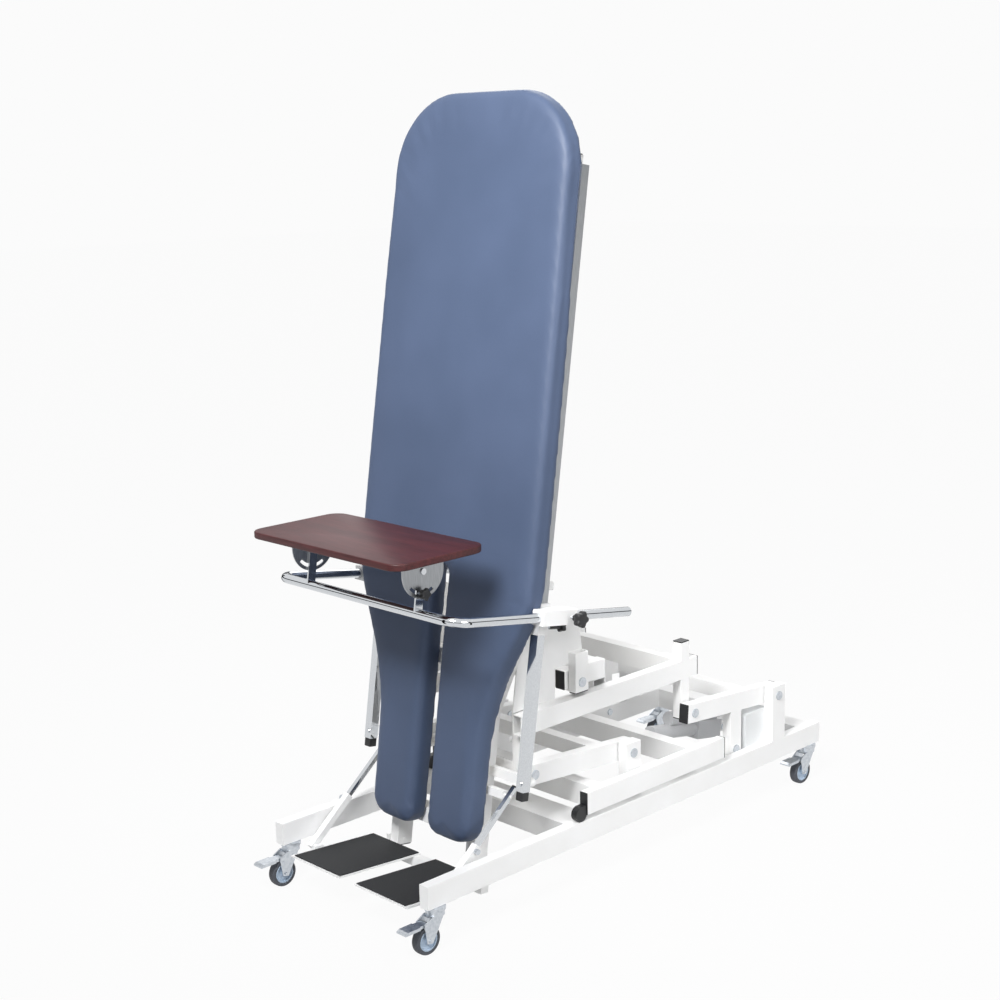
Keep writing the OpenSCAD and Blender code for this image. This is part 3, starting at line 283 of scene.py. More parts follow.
def brushed_stainless():
    """Stainless flat bar and disc, brushed upright: fine lines 0.6 mm apart, drawn at 1 mm so that they
    show."""
    material, tree, shader, place = new_material("brushed_stainless", Metallic=1.0)
    stretched = add_node(tree, "ShaderNodeMapping", values={"Scale": (1.0, 1.0, 0.04)},
                         links={"Vector": place})
    brush = add_node(tree, "ShaderNodeTexNoise", values={"Scale": per_mm(1.0), "Detail": 2.0},
                     links={"Vector": stretched.outputs["Vector"]})
    dull = add_node(tree, "ShaderNodeMapRange", values={"To Min": 0.24, "To Max": 0.42},
                    links={"Value": brush.outputs["Fac"]})
    tree.links.new(two_tones(tree, brush.outputs["Fac"], "9C9FA2", "B7B9BC"), shader.inputs["Base Color"])
    tree.links.new(dull.outputs["Result"], shader.inputs["Roughness"])
    return material


def grey_tyre_rubber():
    """Non-marking grey rubber, moulded: matt, with a fine scuffed grain of 1.5 mm."""
    material, tree, shader, place = new_material("grey_tyre_rubber", Roughness=0.62, IOR=1.52)
    scuff = add_node(tree, "ShaderNodeTexNoise", values={"Scale": per_mm(1.5), "Detail": 4.0},
                     links={"Vector": place})
    bump = add_node(tree, "ShaderNodeBump", values={"Strength": 0.3, "Distance": 0.15*MM},
                    links={"Height": scuff.outputs["Fac"]})
    tree.links.new(two_tones(tree, scuff.outputs["Fac"], "404349", "4C4F56"), shader.inputs["Base Color"])
    tree.links.new(bump.outputs["Normal"], shader.inputs["Normal"])
    return material


def moulded_polypropylene():
    """Pale blue-grey polypropylene wheel centre: satin, with soft flow marks 12 mm across."""
    material, tree, shader, place = new_material("moulded_polypropylene", Roughness=0.4, IOR=1.49)
    flow = add_node(tree, "ShaderNodeTexNoise", values={"Scale": per_mm(12), "Detail": 1.0},
                    links={"Vector": place})
    tree.links.new(two_tones(tree, flow.outputs["Fac"], "A3B6CA", "B4C4D6"), shader.inputs["Base Color"])
    return material


def navy_vinyl():
    """Expanded vinyl leathercloth over foam: navy, a soft sheen, and a leather grain of 1 mm cells, drawn at
    2.4 mm so that it shows, with painted shade that makes the colour a little deeper in the grain's hollows."""
    material, tree, shader, place = new_material("navy_vinyl", Roughness=0.56, IOR=1.5)
    shader.inputs["Sheen Weight"].default_value = 0.12
    shader.inputs["Sheen Roughness"].default_value = 0.5
    shader.inputs["Sheen Tint"].default_value = linear("9AA8C2")
    cells = add_node(tree, "ShaderNodeTexVoronoi", {"feature": "SMOOTH_F1"},
                     {"Scale": per_mm(2.4), "Smoothness": 0.6}, {"Vector": place})
    cloud = add_node(tree, "ShaderNodeTexNoise", values={"Scale": per_mm(220), "Detail": 2.0},
                     links={"Vector": place})
    tone = two_tones(tree, cloud.outputs["Fac"], "404E68", "475570")
    # Painted shade: the colour is scaled down to 0.9 towards the cell edges, which are the hollows of the
    # grain
    grain = add_node(tree, "ShaderNodeMapRange", values={"To Min": 1.0, "To Max": 0.9},
                     links={"Value": cells.outputs["Distance"]})
    shade = add_node(tree, "ShaderNodeVectorMath", {"operation": "SCALE"}, links={
        "Vector": tone, "Scale": grain.outputs["Result"]})
    bump = add_node(tree, "ShaderNodeBump", {"invert": True}, {"Strength": 0.3, "Distance": 0.12*MM},
                    {"Height": cells.outputs["Distance"]})
    tree.links.new(shade.outputs["Vector"], shader.inputs["Base Color"])
    tree.links.new(bump.outputs["Normal"], shader.inputs["Normal"])
    return material


# Radians by which the wave texture turns over one unit at a scale of 1: half a wave is one ply
WAVE_TURNS = 20


def birch_plywood():
    """Birch plywood: its plies of 2 mm show at the edge as pale and darker lines, drawn at 4 mm so that they
    show, and the veneer of its back has a faint grain up the board, in streaks 6 mm wide."""
    material, tree, shader, place = new_material("birch_plywood", Roughness=0.6, IOR=1.5)
    upright = add_node(tree, "ShaderNodeMapping", values={"Rotation": (0.0, -LEAN, 0.0)},
                       links={"Vector": place})
    plies = add_node(tree, "ShaderNodeTexWave", {"bands_direction": "X"},
                     {"Scale": per_mm(4)/WAVE_TURNS*math.pi}, {"Vector": upright.outputs["Vector"]})
    lengthwise = add_node(tree, "ShaderNodeMapping", values={"Scale": (1.0, 1.0, 0.04)},
                          links={"Vector": upright.outputs["Vector"]})
    veneer = add_node(tree, "ShaderNodeTexNoise", values={"Scale": per_mm(6), "Detail": 4.0},
                      links={"Vector": lengthwise.outputs["Vector"]})
    both = add_node(tree, "ShaderNodeMix", {"data_type": "FLOAT"}, {"Factor": 0.6},
                    {"A": plies.outputs["Fac"], "B": veneer.outputs["Fac"]})
    tree.links.new(two_tones(tree, both.outputs["Result"], "CDBE9F", "E6DCC6"), shader.inputs["Base Color"])
    return material


def mahogany_laminate():
    """Printed mahogany laminate on board: a satin melamine skin, with grain lines 5 mm apart that run the
    board's long way and broader bands of 45 mm."""
    material, tree, shader, place = new_material("mahogany_laminate", Roughness=0.48, IOR=1.45)
    lengthwise = add_node(tree, "ShaderNodeMapping", values={"Scale": (1.0, 0.06, 1.0)},
                          links={"Vector": place})
    lines = add_node(tree, "ShaderNodeTexNoise",
                     values={"Scale": per_mm(5), "Detail": 5.0, "Roughness": 0.65},
                     links={"Vector": lengthwise.outputs["Vector"]})
    bands = add_node(tree, "ShaderNodeTexNoise", values={"Scale": per_mm(45), "Detail": 2.0},
                     links={"Vector": lengthwise.outputs["Vector"]})
    both = add_node(tree, "ShaderNodeMix", {"data_type": "FLOAT"}, {"Factor": 0.4},
                    {"A": lines.outputs["Fac"], "B": bands.outputs["Fac"]})
    tree.links.new(two_tones(tree, both.outputs["Result"], "301012", "502325", 0.36, 0.62),
                   shader.inputs["Base Color"])
    return material


def pebbled_foam_rubber():
    """Black closed-cell foam rubber: dead matt, with a pebbled skin of 2 mm, and painted shade that darkens
    the hollows between the pebbles.
    """
    material, tree, shader, place = new_material("pebbled_foam_rubber", Roughness=0.85, IOR=1.5)
    pebbles = add_node(tree, "ShaderNodeTexVoronoi", values={"Scale": per_mm(2.0)}, links={"Vector": place})
    bump = add_node(tree, "ShaderNodeBump", {"invert": True}, {"Strength": 0.5, "Distance": 0.3*MM},
                    {"Height": pebbles.outputs["Distance"]})
    # Painted shade: darker towards the cell edges, which are the hollows between the pebbles
    tree.links.new(two_tones(tree, pebbles.outputs["Distance"], "2A2B2D", "1F2022", 0.1, 0.8),
                   shader.inputs["Base Color"])
    tree.links.new(bump.outputs["Normal"], shader.inputs["Normal"])
    return material


def moulded_abs(name, first, second):
    """ABS housing, moulded with a light spark grain of 1.2 mm, in the two given near tones."""
    material, tree, shader, place = new_material(name, Roughness=0.42, IOR=1.54)
    grain = add_node(tree, "ShaderNodeTexNoise", values={"Scale": per_mm(1.2), "Detail": 2.0},
                     links={"Vector": place})
    bump = add_node(tree, "ShaderNodeBump", values={"Strength": 0.2, "Distance": 0.08*MM},
                    links={"Height": grain.outputs["Fac"]})
    tree.links.new(two_tones(tree, grain.outputs["Fac"], first, second), shader.inputs["Base Color"])
    tree.links.new(bump.outputs["Normal"], shader.inputs["Normal"])
    return material


white_coat = powder_coated_steel()
black_nylon = moulded_nylon()
zinc = zinc_plated_steel()
chrome = chrome_plated_tube()
stainless = brushed_stainless()
tyre_rubber = grey_tyre_rubber()
hub_plastic = moulded_polypropylene()
vinyl = navy_vinyl()
plywood = birch_plywood()
mahogany = mahogany_laminate()
foam_mat = pebbled_foam_rubber()
drive_grey = moulded_abs("grey_abs", "CFD0D3", "DADBDD")
box_white = moulded_abs("white_abs", "DADCDD", "E4E6E7")

CORNERS = [f"{end}_{side}" for end in ("front", "rear") for side, _ in SIDES]
NODE_MATERIALS = {
    "base_rails": white_coat, "base_cross_tubes": white_coat, "base_posts": white_coat, "base_bolts": zinc,
    "control_box": box_white, "mains_inlet": black_nylon,
    "rear_rocker": white_coat, "rear_rocker_caps": black_nylon, "front_rocker": white_coat,
    "upper_rails": white_coat, "upper_cross_tubes": white_coat, "upper_posts": white_coat,
    "upper_end_caps": black_nylon, "upper_bolts": zinc,
    "carriage_tubes": white_coat, "carriage_cross_tubes": white_coat, "carriage_glides": black_nylon,
    "carriage_bolts": zinc,
    "lift_drive_body": drive_grey, "lift_drive_rod": stainless,
    "tilt_drive_body": drive_grey, "tilt_drive_rod": stainless,
    "top_frame_rails": white_coat, "top_frame_bars": white_coat, "top_side_plates": white_coat,
    "pad_board": plywood, "pad": vinyl, "side_rails": stainless, "tray_posts": chrome, "strut_rods": chrome,
    "tray_holders": white_coat, "tray_tube": chrome, "tray_stands": chrome, "tray_board": mahogany,
    "tray_discs": stainless,
    "foot_frame": white_coat, "foot_mats": foam_mat, "strut_sleeves": white_coat,
    "reach_knob_left": black_nylon, "reach_knob_right": black_nylon, "height_knob": black_nylon,
    "angle_knob": black_nylon, "foot_knob_left": zinc, "foot_knob_right": zinc,
    **{f"fork_{corner}": zinc for corner in CORNERS},
    **{f"tyre_{corner}": tyre_rubber for corner in CORNERS},
    **{f"hub_{corner}": hub_plastic for corner in CORNERS},
    **{f"pedal_{corner}": zinc for corner in CORNERS},
}


def dress_nodes():
    """Each CAD node takes the material of its real finish."""
    for name, material in NODE_MATERIALS.items():
        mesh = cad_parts[name].data
        mesh.materials.clear()
        mesh.materials.append(material)


# Cushion

PAD_LENGTH, PAD_WIDTH, PAD_DEPTH = 1.900, 0.652, 0.047
SLOT_LENGTH, SLOT_WIDTH = 0.700, 0.056
# Outer half width of the cushion over its two legs
LEG_SHARE = 0.583
LEG_WIDTH = LEG_SHARE*PAD_WIDTH/2
TOE_RADIUS, INNER_TOE_RADIUS, HEAD_RADIUS = 0.055, 0.042, 0.205
# Heights up the cushion against half widths, as shares of its length and of its half width
SIDE_SHARES = np.array([
    [0.105, 0.590], [0.158, 0.606], [0.200, 0.660], [0.232, 0.722], [0.264, 0.806], [0.295, 0.890],
    [0.327, 0.962], [0.358, 0.995], [0.430, 1.000], [0.580, 0.995], [0.740, 0.985], [0.860, 0.968]])
# Edge of the cushion from its back to its face, as shares of EDGE_INSET and of the depth below the face
# The first five go round the edge of the board, which the cover wraps
EDGE_SHARES = [[0.50, 1.0], [0.50, 1.36], [0.30, 1.39], [0.09, 1.37], [0.01, 1.26], [0.0, 0.85], [0.0, 0.56],
               [0.03, 0.38], [0.10, 0.24], [0.22, 0.13], [0.42, 0.055], [0.70, 0.015], [1.0, 0.0]]
EDGE_INSET = 0.041
# The outline grows by what the remesh rounds away, and the face lies back to leave room for the swelling
PAD_GROWTH = 0.003
FACE_ROOM = 0.004
PAD_VOXEL = 0.009
# Reach of the swelling, its pressure and its steps, and how far before its back the cushion is held still
PAD_SWELL, SWELL_PRESSURE, SWELL_STEPS = 0.003, 4, 20
HELD_STRIP = 3*MM


def arc(y, s, radius, start, end, steps=14):
    """Points of an arc in the plane of the top, its angles in degrees."""
    angle = np.radians(np.linspace(start, end, steps))
    return np.stack([y + radius*np.cos(angle), s + radius*np.sin(angle)], axis=1)


def smooth_through(points, steps=8):
    """A Catmull-Rom curve through points: each stretch is the cubic whose slopes at its ends are half the
    step between the points on either side."""
    before = np.concatenate([[2*points[0] - points[1]], points[:-2]])
    after = np.concatenate([points[2:], [2*points[-1] - points[-2]]])
    a, b = points[:-1, None], points[1:, None]
    t = np.linspace(0, 1, steps, endpoint=False)[None, :, None]
    slope_a, slope_b = (b - before[:, None])/2, (after[:, None] - a)/2
    curve = ((2*t**3 - 3*t**2 + 1)*a + (t**3 - 2*t**2 + t)*slope_a
             + (-2*t**3 + 3*t**2)*b + (t**3 - t**2)*slope_b)
    return np.concatenate([curve.reshape(-1, 2), points[-1:]])


def cushion_outline():
    """The outline of the cushion as y and s pairs: one half from the gap round the toe, up the side and
    round the head, the same mirrored, and the round end of the gap."""
    head_half = SIDE_SHARES[-1, 1]*PAD_WIDTH/2
    side = smooth_through(np.concatenate([
        [[LEG_WIDTH, TOE_RADIUS]], SIDE_SHARES[:, ::-1]*[PAD_WIDTH/2, PAD_LENGTH],
        [[head_half, PAD_LENGTH - HEAD_RADIUS]]]))
    half = np.concatenate([
        arc(SLOT_WIDTH/2 + INNER_TOE_RADIUS, INNER_TOE_RADIUS, INNER_TOE_RADIUS, 180, 270),
        arc(LEG_WIDTH - TOE_RADIUS, TOE_RADIUS, TOE_RADIUS, 270, 360), side[1:-1],
        arc(head_half - HEAD_RADIUS, PAD_LENGTH - HEAD_RADIUS, HEAD_RADIUS, 0, 90, 24)])
    mirrored = half[::-1]*[-1, 1]
    return np.concatenate([half, mirrored, arc(0, SLOT_LENGTH - SLOT_WIDTH/2, SLOT_WIDTH/2, 180, 0)])


def inset_outline(outline, inset):
    """The outline moved inwards along its own normals."""
    run = np.roll(outline, -1, axis=0) - np.roll(outline, 1, axis=0)
    run /= np.linalg.norm(run, axis=1)[:, None]
    return outline + inset*np.stack([-run[:, 1], run[:, 0]], axis=1)


def swell(piece, reach, held):
    """Swells a closed mesh with cloth under pressure, holds the given points still, and lets no other move
    more than the reach."""
    rest = np.empty(len(piece.data.vertices)*3, np.float32)
    piece.data.vertices.foreach_get("co", rest)
    group = piece.vertex_groups.new(name="held")
    group.add(np.flatnonzero(held).tolist(), 1.0, "REPLACE")
    cloth = piece.modifiers.new("swell", "CLOTH")
    cloth.settings.use_pressure = True
    cloth.settings.uniform_pressure_force = SWELL_PRESSURE
    cloth.settings.effector_weights.gravity = 0
    cloth.settings.vertex_group_mass = "held"
    for step in range(1, SWELL_STEPS + 1):
        scene.frame_set(step)
    swollen = piece.evaluated_get(bpy.context.evaluated_depsgraph_get()).data
    now = np.empty_like(rest)
    swollen.vertices.foreach_get("co", now)
    piece.modifiers.remove(cloth)
    piece.vertex_groups.remove(group)
    scene.frame_set(1)
    move = (now - rest).reshape(-1, 3)
    length = np.linalg.norm(move, axis=1)
    move *= (reach/np.maximum(length, reach))[:, None]
    piece.data.vertices.foreach_set("co", (rest.reshape(-1, 3) + move).ravel())
    piece.data.update()


def cushion():
    """The foam cushion: rings of its outline from the back round the edge to the face, closed by one face at
    each end, remeshed, swollen as foam under a stretched cover, and subdivided once. Its cover wraps the
    board's edge and stops a little way in on the board's back."""
    outline = cushion_outline()
    rings = np.array([
        top_place(np.full(len(outline), depth*(PAD_DEPTH - FACE_ROOM) + FACE_ROOM),
                  *inset_outline(outline, inset*EDGE_INSET - PAD_GROWTH).T)
        for inset, depth in EDGE_SHARES])
    count, rows = len(outline), len(rings)
    step = np.arange(count)
    sides = np.concatenate([
        np.stack([step, (step + 1) % count, (step + 1) % count + count, step + count], axis=1) + row*count
        for row in range(rows - 1)]).tolist()
    ends = [step[::-1].tolist(), (step + (rows - 1)*count).tolist()]
    pad = piece_from("cushion", rings, sides + ends)
    remesh = pad.modifiers.new("even_mesh", "REMESH")
    remesh.mode = "VOXEL"
    remesh.voxel_size = PAD_VOXEL
    even = bpy.data.meshes.new_from_object(pad.evaluated_get(bpy.context.evaluated_depsgraph_get()))
    pad.modifiers.remove(remesh)
    pad.data = even
    points = np.empty(len(even.vertices)*3, np.float32)
    even.vertices.foreach_get("co", points)
    depth = (points.reshape(-1, 3) - TOP_FOOT) @ ALONG_N
    swell(pad, PAD_SWELL, depth > PAD_DEPTH - HELD_STRIP)
    pad.data.shade_smooth()
    finer = pad.modifiers.new("finer", "SUBSURF")
    finer.levels = finer.render_levels = 1
    add_piece(pad, "top_frame", vinyl, ["pad"])


# Tray

TRAY_SIZE = (0.290, 0.570, 0.018)
TRAY_CORNER, TRAY_EASE = 0.038, 3*MM


def tray_panel():
    """The tray board: a rounded rectangle with its upper and lower edges eased."""
    low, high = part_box("tray_board")
    panel = rounded_block("tray_panel", (low + high)/2, Vector((1, 0, 0)), Vector((0, 1, 0)),
                          Vector((0, 0, 1)), TRAY_SIZE, TRAY_CORNER, TRAY_EASE)
    add_piece(panel, "tray_top", mahogany, ["tray_board"])


TUBE_RADIUS, TUBE_BEND = 0.0125, 0.045
# The axis of the bow: n of its cross piece and of its rear ends, its height s, and half its width
TUBE_FRONT_N, TUBE_REAR_N, TUBE_S, TUBE_Y = -0.245, 0.365, 0.618, 0.340
# The eased ends of the tube: their radius as a share of the whole, and how far they stand out
TUBE_END_SHARE, TUBE_END_EASE = 0.93, 1*MM
# Steps along a side, round a bend and along the cross piece, and sides of the tube
SIDE_STEPS, BEND_STEPS, CROSS_STEPS, TUBE_SIDES = 12, 15, 10, 32


def bent_tube():
    """The tray's bow: a circle carried back to front along one side, round two bends and back along the
    other. The path lies in the plane of n and y, so each ring lies on the path's normal there and on s."""
    turn = np.linspace(0, math.pi/2, BEND_STEPS + 1)
    bend_n, bend_y = TUBE_FRONT_N + TUBE_BEND, TUBE_Y - TUBE_BEND
    near = np.stack([bend_n - TUBE_BEND*np.sin(turn), -bend_y - TUBE_BEND*np.cos(turn)], axis=1)
    side_n = np.linspace(TUBE_REAR_N, bend_n, SIDE_STEPS, endpoint=False)
    half = np.concatenate([np.stack([side_n, np.full_like(side_n, -TUBE_Y)], axis=1), near])
    middle_y = np.linspace(-bend_y, bend_y, CROSS_STEPS + 1)[1:-1]
    middle = np.stack([np.full_like(middle_y, TUBE_FRONT_N), middle_y], axis=1)
    path = np.concatenate([half, middle, half[::-1]*[1, -1]])
    run = np.gradient(path, axis=0)
    run /= np.linalg.norm(run, axis=1)[:, None]
    normal = np.stack([-run[:, 1], run[:, 0]], axis=1)
    angle = np.linspace(0, 2*math.pi, TUBE_SIDES + 1)
    size = np.ones(len(path) + 4)
    size[[0, -1]] = 0
    size[[1, -2]] = TUBE_END_SHARE
    index = np.concatenate([[0, 0], np.arange(len(path)), [-1, -1]])
    across = TUBE_RADIUS*size[:, None]*np.cos(angle)
    n = path[index, 0][:, None] + across*normal[index, 0][:, None]
    y = path[index, 1][:, None] + across*normal[index, 1][:, None]
    s = TUBE_S + TUBE_RADIUS*size[:, None]*np.sin(angle)
    n[[0, 1, -2, -1]] += TUBE_END_EASE
    add_piece(surface("bent_tray_tube", top_place(n, y, s)), "tray_frame", chrome, ["tray_tube"])


# Knobs

# Radius and height of a star knob's head, as shares of its own
STAR_PROFILE = np.array([[0, 0], [0.55, 0], [0.9, 0.02], [0.98, 0.12], [1, 0.25], [1, 0.72], [0.97, 0.88],
                         [0.88, 0.97], [0.6, 1.0], [0, 1.0]])
# Its lobes, half of what is drawn in between them, and the radius beyond which they show, both as shares
STAR_LOBES, LOBE_SHARE, LOBED_FROM_SHARE = 5, 0.13, 0.58
STAR_STEPS, STAR_SMOOTH_ANGLE = 80, 50


def star_head(name, foot, axis, side, radius, depth):
    """A knob's star: radius times the profile's share, drawn in between its lobes by
    LOBE_SHARE*(1 - cos(STAR_LOBES*a)), and depth times the profile's height along the axis."""
    angle = np.linspace(0, 2*math.pi, STAR_STEPS + 1)
    lobes = 1 - LOBE_SHARE*(1 - np.cos(STAR_LOBES*angle))
    reach = radius*STAR_PROFILE[:, 0, None]*np.where(STAR_PROFILE[:, :1] > LOBED_FROM_SHARE, lobes, 1.0)
    points = foot + reach[..., None]*spokes(axis, side, angle) + depth*STAR_PROFILE[:, 1, None, None]*axis
    return surface(name, points, STAR_SMOOTH_ANGLE)


THREAD_PITCH, THREAD_DEPTH, THREAD_STEP = 1.5*MM, 0.35*MM, 0.5*MM
STUD_SIDES, COLLAR_SIDES, WHEEL_SIDES = 24, 32, 64


def screw_shank(name, foot, axis, side, radius, length):
    """A threaded stud: its radius falls by the thread's depth and rises again once in every pitch."""
    height = np.linspace(0, length, int(length/THREAD_STEP) + 1)
    ridge = radius - THREAD_DEPTH*(0.5 - 0.5*np.cos(2*math.pi*height/THREAD_PITCH))
    profile = np.stack([ridge, height], axis=1)
    profile = np.concatenate([[[0, 0]], profile, [[0, length]]])
    return surface(name, turned(profile, foot, axis, side, STUD_SIDES))


KNOB_RADIUS, KNOB_DEPTH = 0.022, 0.018
# The stud's radius, how far it goes into the thread behind its foot, and its length as a share of the stem
STUD_RADIUS, STUD_SUNK, STUD_SHARE = 0.004, 3*MM, 0.5
# Radius of the collar against its height as a share of the stem
COLLAR_PROFILE = np.array([[0, 0.35], [0.0075, 0.35], [0.0085, 0.45], [0.0095, 1.0], [0, 1.0]])


def knob(node, foot, axis, side, share, stem):
    """A star knob on the body of its own name: its stud and a collar up to the stem's length, then the
    star. The share is its size against the full one."""
    head = star_head(node + "_star", foot + stem*axis, axis, side, share*KNOB_RADIUS, share*KNOB_DEPTH)
    add_piece(head, node, black_nylon, [node])
    collar = surface(node + "_collar", turned(COLLAR_PROFILE*[share, stem], foot, axis, side, COLLAR_SIDES))
    add_piece(collar, node, black_nylon)
    stud = screw_shank(node + "_stud", foot - STUD_SUNK*axis, axis, side, STUD_RADIUS,
                       STUD_SHARE*stem + STUD_SUNK)
    add_piece(stud, node, zinc)


# Foot of each knob's stud along n, y and s, and the length of its stem
REACH_KNOB_FOOT, REACH_KNOB_STEM = (0.132, 0.3591, TUBE_S), 0.022
HEIGHT_KNOB_FOOT, HEIGHT_KNOB_STEM = (0.0996, -0.295, 0.582), 0.060
ANGLE_KNOB_FOOT, ANGLE_KNOB_STEM = (TUBE_FRONT_N, -0.2116, 0.668), 0.008
SMALL_KNOB_SHARE = 0.72


def knobs():
    """The four star knobs of the tray."""
    for name, hand in SIDES:
        n, y, s = REACH_KNOB_FOOT
        knob(f"reach_knob_{name}", top_place(n, hand*y, s), hand*ALONG_Y, ALONG_N, 1.0, REACH_KNOB_STEM)
    knob("height_knob", top_place(*HEIGHT_KNOB_FOOT), ALONG_N, ALONG_Y, SMALL_KNOB_SHARE, HEIGHT_KNOB_STEM)
    knob("angle_knob", top_place(*ANGLE_KNOB_FOOT), -ALONG_Y, ALONG_N, SMALL_KNOB_SHARE, ANGLE_KNOB_STEM)


# Castor wheels

FRONT_WHEEL_X, REAR_WHEEL_X, WHEEL_Y, WHEEL_RADIUS = -0.7595, 0.7625, 0.285, 0.0375
WHEEL_PLACES = [(x, hand*WHEEL_Y) for x in (FRONT_WHEEL_X, REAR_WHEEL_X) for _, hand in SIDES]
# Radius and place across the wheel in millimetres, from one side to the middle
TYRE_PROFILE = np.array([[27.6, -10.5], [30, -11.4], [33.5, -12], [35.6, -11.2], [36.8, -9], [37.4, -5],
                         [37.5, 0]])
HUB_PROFILE = np.array([[4.1, -13], [7.4, -13], [8, -12.4], [8.2, -7], [10, -6.2], [20.5, -6.2], [22.4, -7],
                        [23.2, -10.2], [24, -10.8], [27, -10.8], [27.5, -10.4], [27.5, 0]])


def castor_wheels():
    """Tyre and hub of each castor, each a half profile, its mirror image and its first point, turned about
    the wheel's axle."""
    for corner, (x, y) in zip(CORNERS, WHEEL_PLACES):
        for node, half, slot, material in (("tyre", TYRE_PROFILE, "grey_tyre", tyre_rubber),
                                           ("hub", HUB_PROFILE, "hub_plastic", hub_plastic)):
            profile = np.concatenate([half, half[::-1]*[1, -1], half[:1]])*MM
            ring = turned(profile, (x, y, WHEEL_RADIUS), (0, 1, 0), (1, 0, 0), WHEEL_SIDES)
            add_piece(surface(f"{node}_{corner}_turned", ring), f"wheel_{corner}", material,
                      [f"{node}_{corner}"])


# Plugs

PLUG_CORNER_SHARE, PLUG_EASE = 0.15, 0.8*MM
# Plugs of the top's tubes: name, n, y and s of their middle on the left side, and size along n, y and s
TOP_PLUGS = (
    ("post_foot_plug", 0.0825, 0.295, 0.1535, (0.0245, 0.0245, 0.023)),
    ("post_head_plug", 0.0825, 0.295, 0.7015, (0.025, 0.025, 0.003)),
    ("rail_foot_plug", 0.090, 0.145, -0.0915, (0.050, 0.030, 0.003)),
    ("rail_head_plug", 0.090, 0.250, 1.7515, (0.050, 0.030, 0.003)))
PIVOT_PLUG_PLACE, PIVOT_PLUG_SIZE = (-0.13848, 0.217, 0.4971), (0.048, 0.026, 0.003)
# The footplates' struts: their lower and upper pin, and the plug of the rod beyond the upper one
STRUT_LOW = np.array([-0.67991, 0.0, 0.09948])
STRUT_HIGH = np.array([-0.43575, 0.0, 0.29862])
STRUT_Y, STRUT_PLUG_AHEAD, STRUT_PLUG_SIZE = 0.250, 0.028, (0.0135, 0.0135, 0.004)


def end_plug(name, body, centre, first, second, third, size):
    """A moulded plug in the end of a tube: a block with round corners and eased ends."""
    corner = min(size[:2])*PLUG_CORNER_SHARE
    plug = rounded_block(name, centre, first, second, third, size, corner, PLUG_EASE)
    add_piece(plug, body, black_nylon)


def plugs():
    """Plugs in the ends of the top's rails, of the tray posts, of the pivot posts and of the strut rods."""
    strut = (STRUT_HIGH - STRUT_LOW)/np.linalg.norm(STRUT_HIGH - STRUT_LOW)
    strut_side = np.cross(ALONG_Y, strut)
    x, y, z = PIVOT_PLUG_PLACE
    for side, hand in SIDES:
        for name, n, plug_y, s, size in TOP_PLUGS:
            end_plug(f"{name}_{side}", "top_frame", top_place(n, hand*plug_y, s),
                     ALONG_N, ALONG_Y, ALONG_S, size)
        end_plug(f"pivot_post_plug_{side}", "top_frame", (x, hand*y, z),
                 np.array([1.0, 0, 0]), ALONG_Y, np.array([0, 0, 1.0]), PIVOT_PLUG_SIZE)
        rod_end = STRUT_HIGH + STRUT_PLUG_AHEAD*strut + hand*STRUT_Y*ALONG_Y
        end_plug(f"strut_rod_plug_{side}", "strut_rods", rod_end,
                 strut_side, ALONG_Y, strut, STRUT_PLUG_SIZE)


# Floor, surroundings and lamps

FLOOR_SIZE, FLOOR_Z = 60, -0.5*MM
# Share of white in the floor as the camera and reflections see it, the rest being its lit and shaded face
FLOOR_WHITE_SHARE = 0.95
# Level of the surroundings as a light
SKY_LEVEL = 0.40
# Soft boxes: name, place, target, size and power
LAMPS = (("key_box", (-2.9, -1.3, 3.7), (-0.15, 0, 1.75), 1.3, 50),
         ("side_box", (-0.6, -4.2, 2.6), (0.2, 0, 0.4), 2.0, 16),
         ("back_box", (2.6, 2.4, 3.4), (0, 0, 0.6), 2.4, 12))
LAMP_SPREAD = math.radians(75)
# Dark band of wall that bright metals mirror: where it starts, is full, fades and ends, with 0 straight
# down, 0.5 level and 1 straight up
BAND_START, BAND_FULL, BAND_FADE, BAND_END = 0.50, 0.52, 0.60, 0.63
# Dark flags that only mirror rays see: place of the middle, width and height
FLAGS = (((-0.01, -1.56, 0.7), 0.30, 1.5), ((-1.60, 0.04, 0.7), 0.30, 1.5), ((-0.60, 1.50, 0.7), 0.30, 1.5))


def floor():
    """A wide pale floor, nearly all white to the camera and in reflections, which keeps a soft shadow."""
    bpy.ops.mesh.primitive_plane_add(size=FLOOR_SIZE, location=(0, 0, FLOOR_Z))
    ground = bpy.context.object
    ground.name = "studio_floor"
    material = bpy.data.materials.new("painted_floor")
    material.use_nodes = True
    tree = material.node_tree
    tree.nodes.clear()
    matt = add_node(tree, "ShaderNodeBsdfDiffuse", values={"Color": linear("C4C4C4")})
    glow = add_node(tree, "ShaderNodeEmission", values={"Color": linear("FFFFFF"), "Strength": 1.0})
    seen = seen_directly(tree)
    share = add_node(tree, "ShaderNodeMath", {"operation": "MULTIPLY"}, {1: FLOOR_WHITE_SHARE}, {0: seen})
    mix = add_node(tree, "ShaderNodeMixShader", links={
        "Fac": share.outputs["Value"], 1: matt.outputs["BSDF"], 2: glow.outputs["Emission"]})
    add_node(tree, "ShaderNodeOutputMaterial", links={"Surface": mix.outputs["Shader"]})
    ground.data.materials.append(material)


def seen_directly(tree):
    """1 for rays from the camera and for mirror or clear ones, and 0 for the rays that light the object."""
    rays = add_node(tree, "ShaderNodeLightPath")
    first = add_node(tree, "ShaderNodeMath", {"operation": "MAXIMUM"},
                     links={0: rays.outputs["Is Camera Ray"], 1: rays.outputs["Is Glossy Ray"]})
    both = add_node(tree, "ShaderNodeMath", {"operation": "MAXIMUM"},
                    links={0: first.outputs["Value"], 1: rays.outputs["Is Transmission Ray"]})
    return both.outputs["Value"]


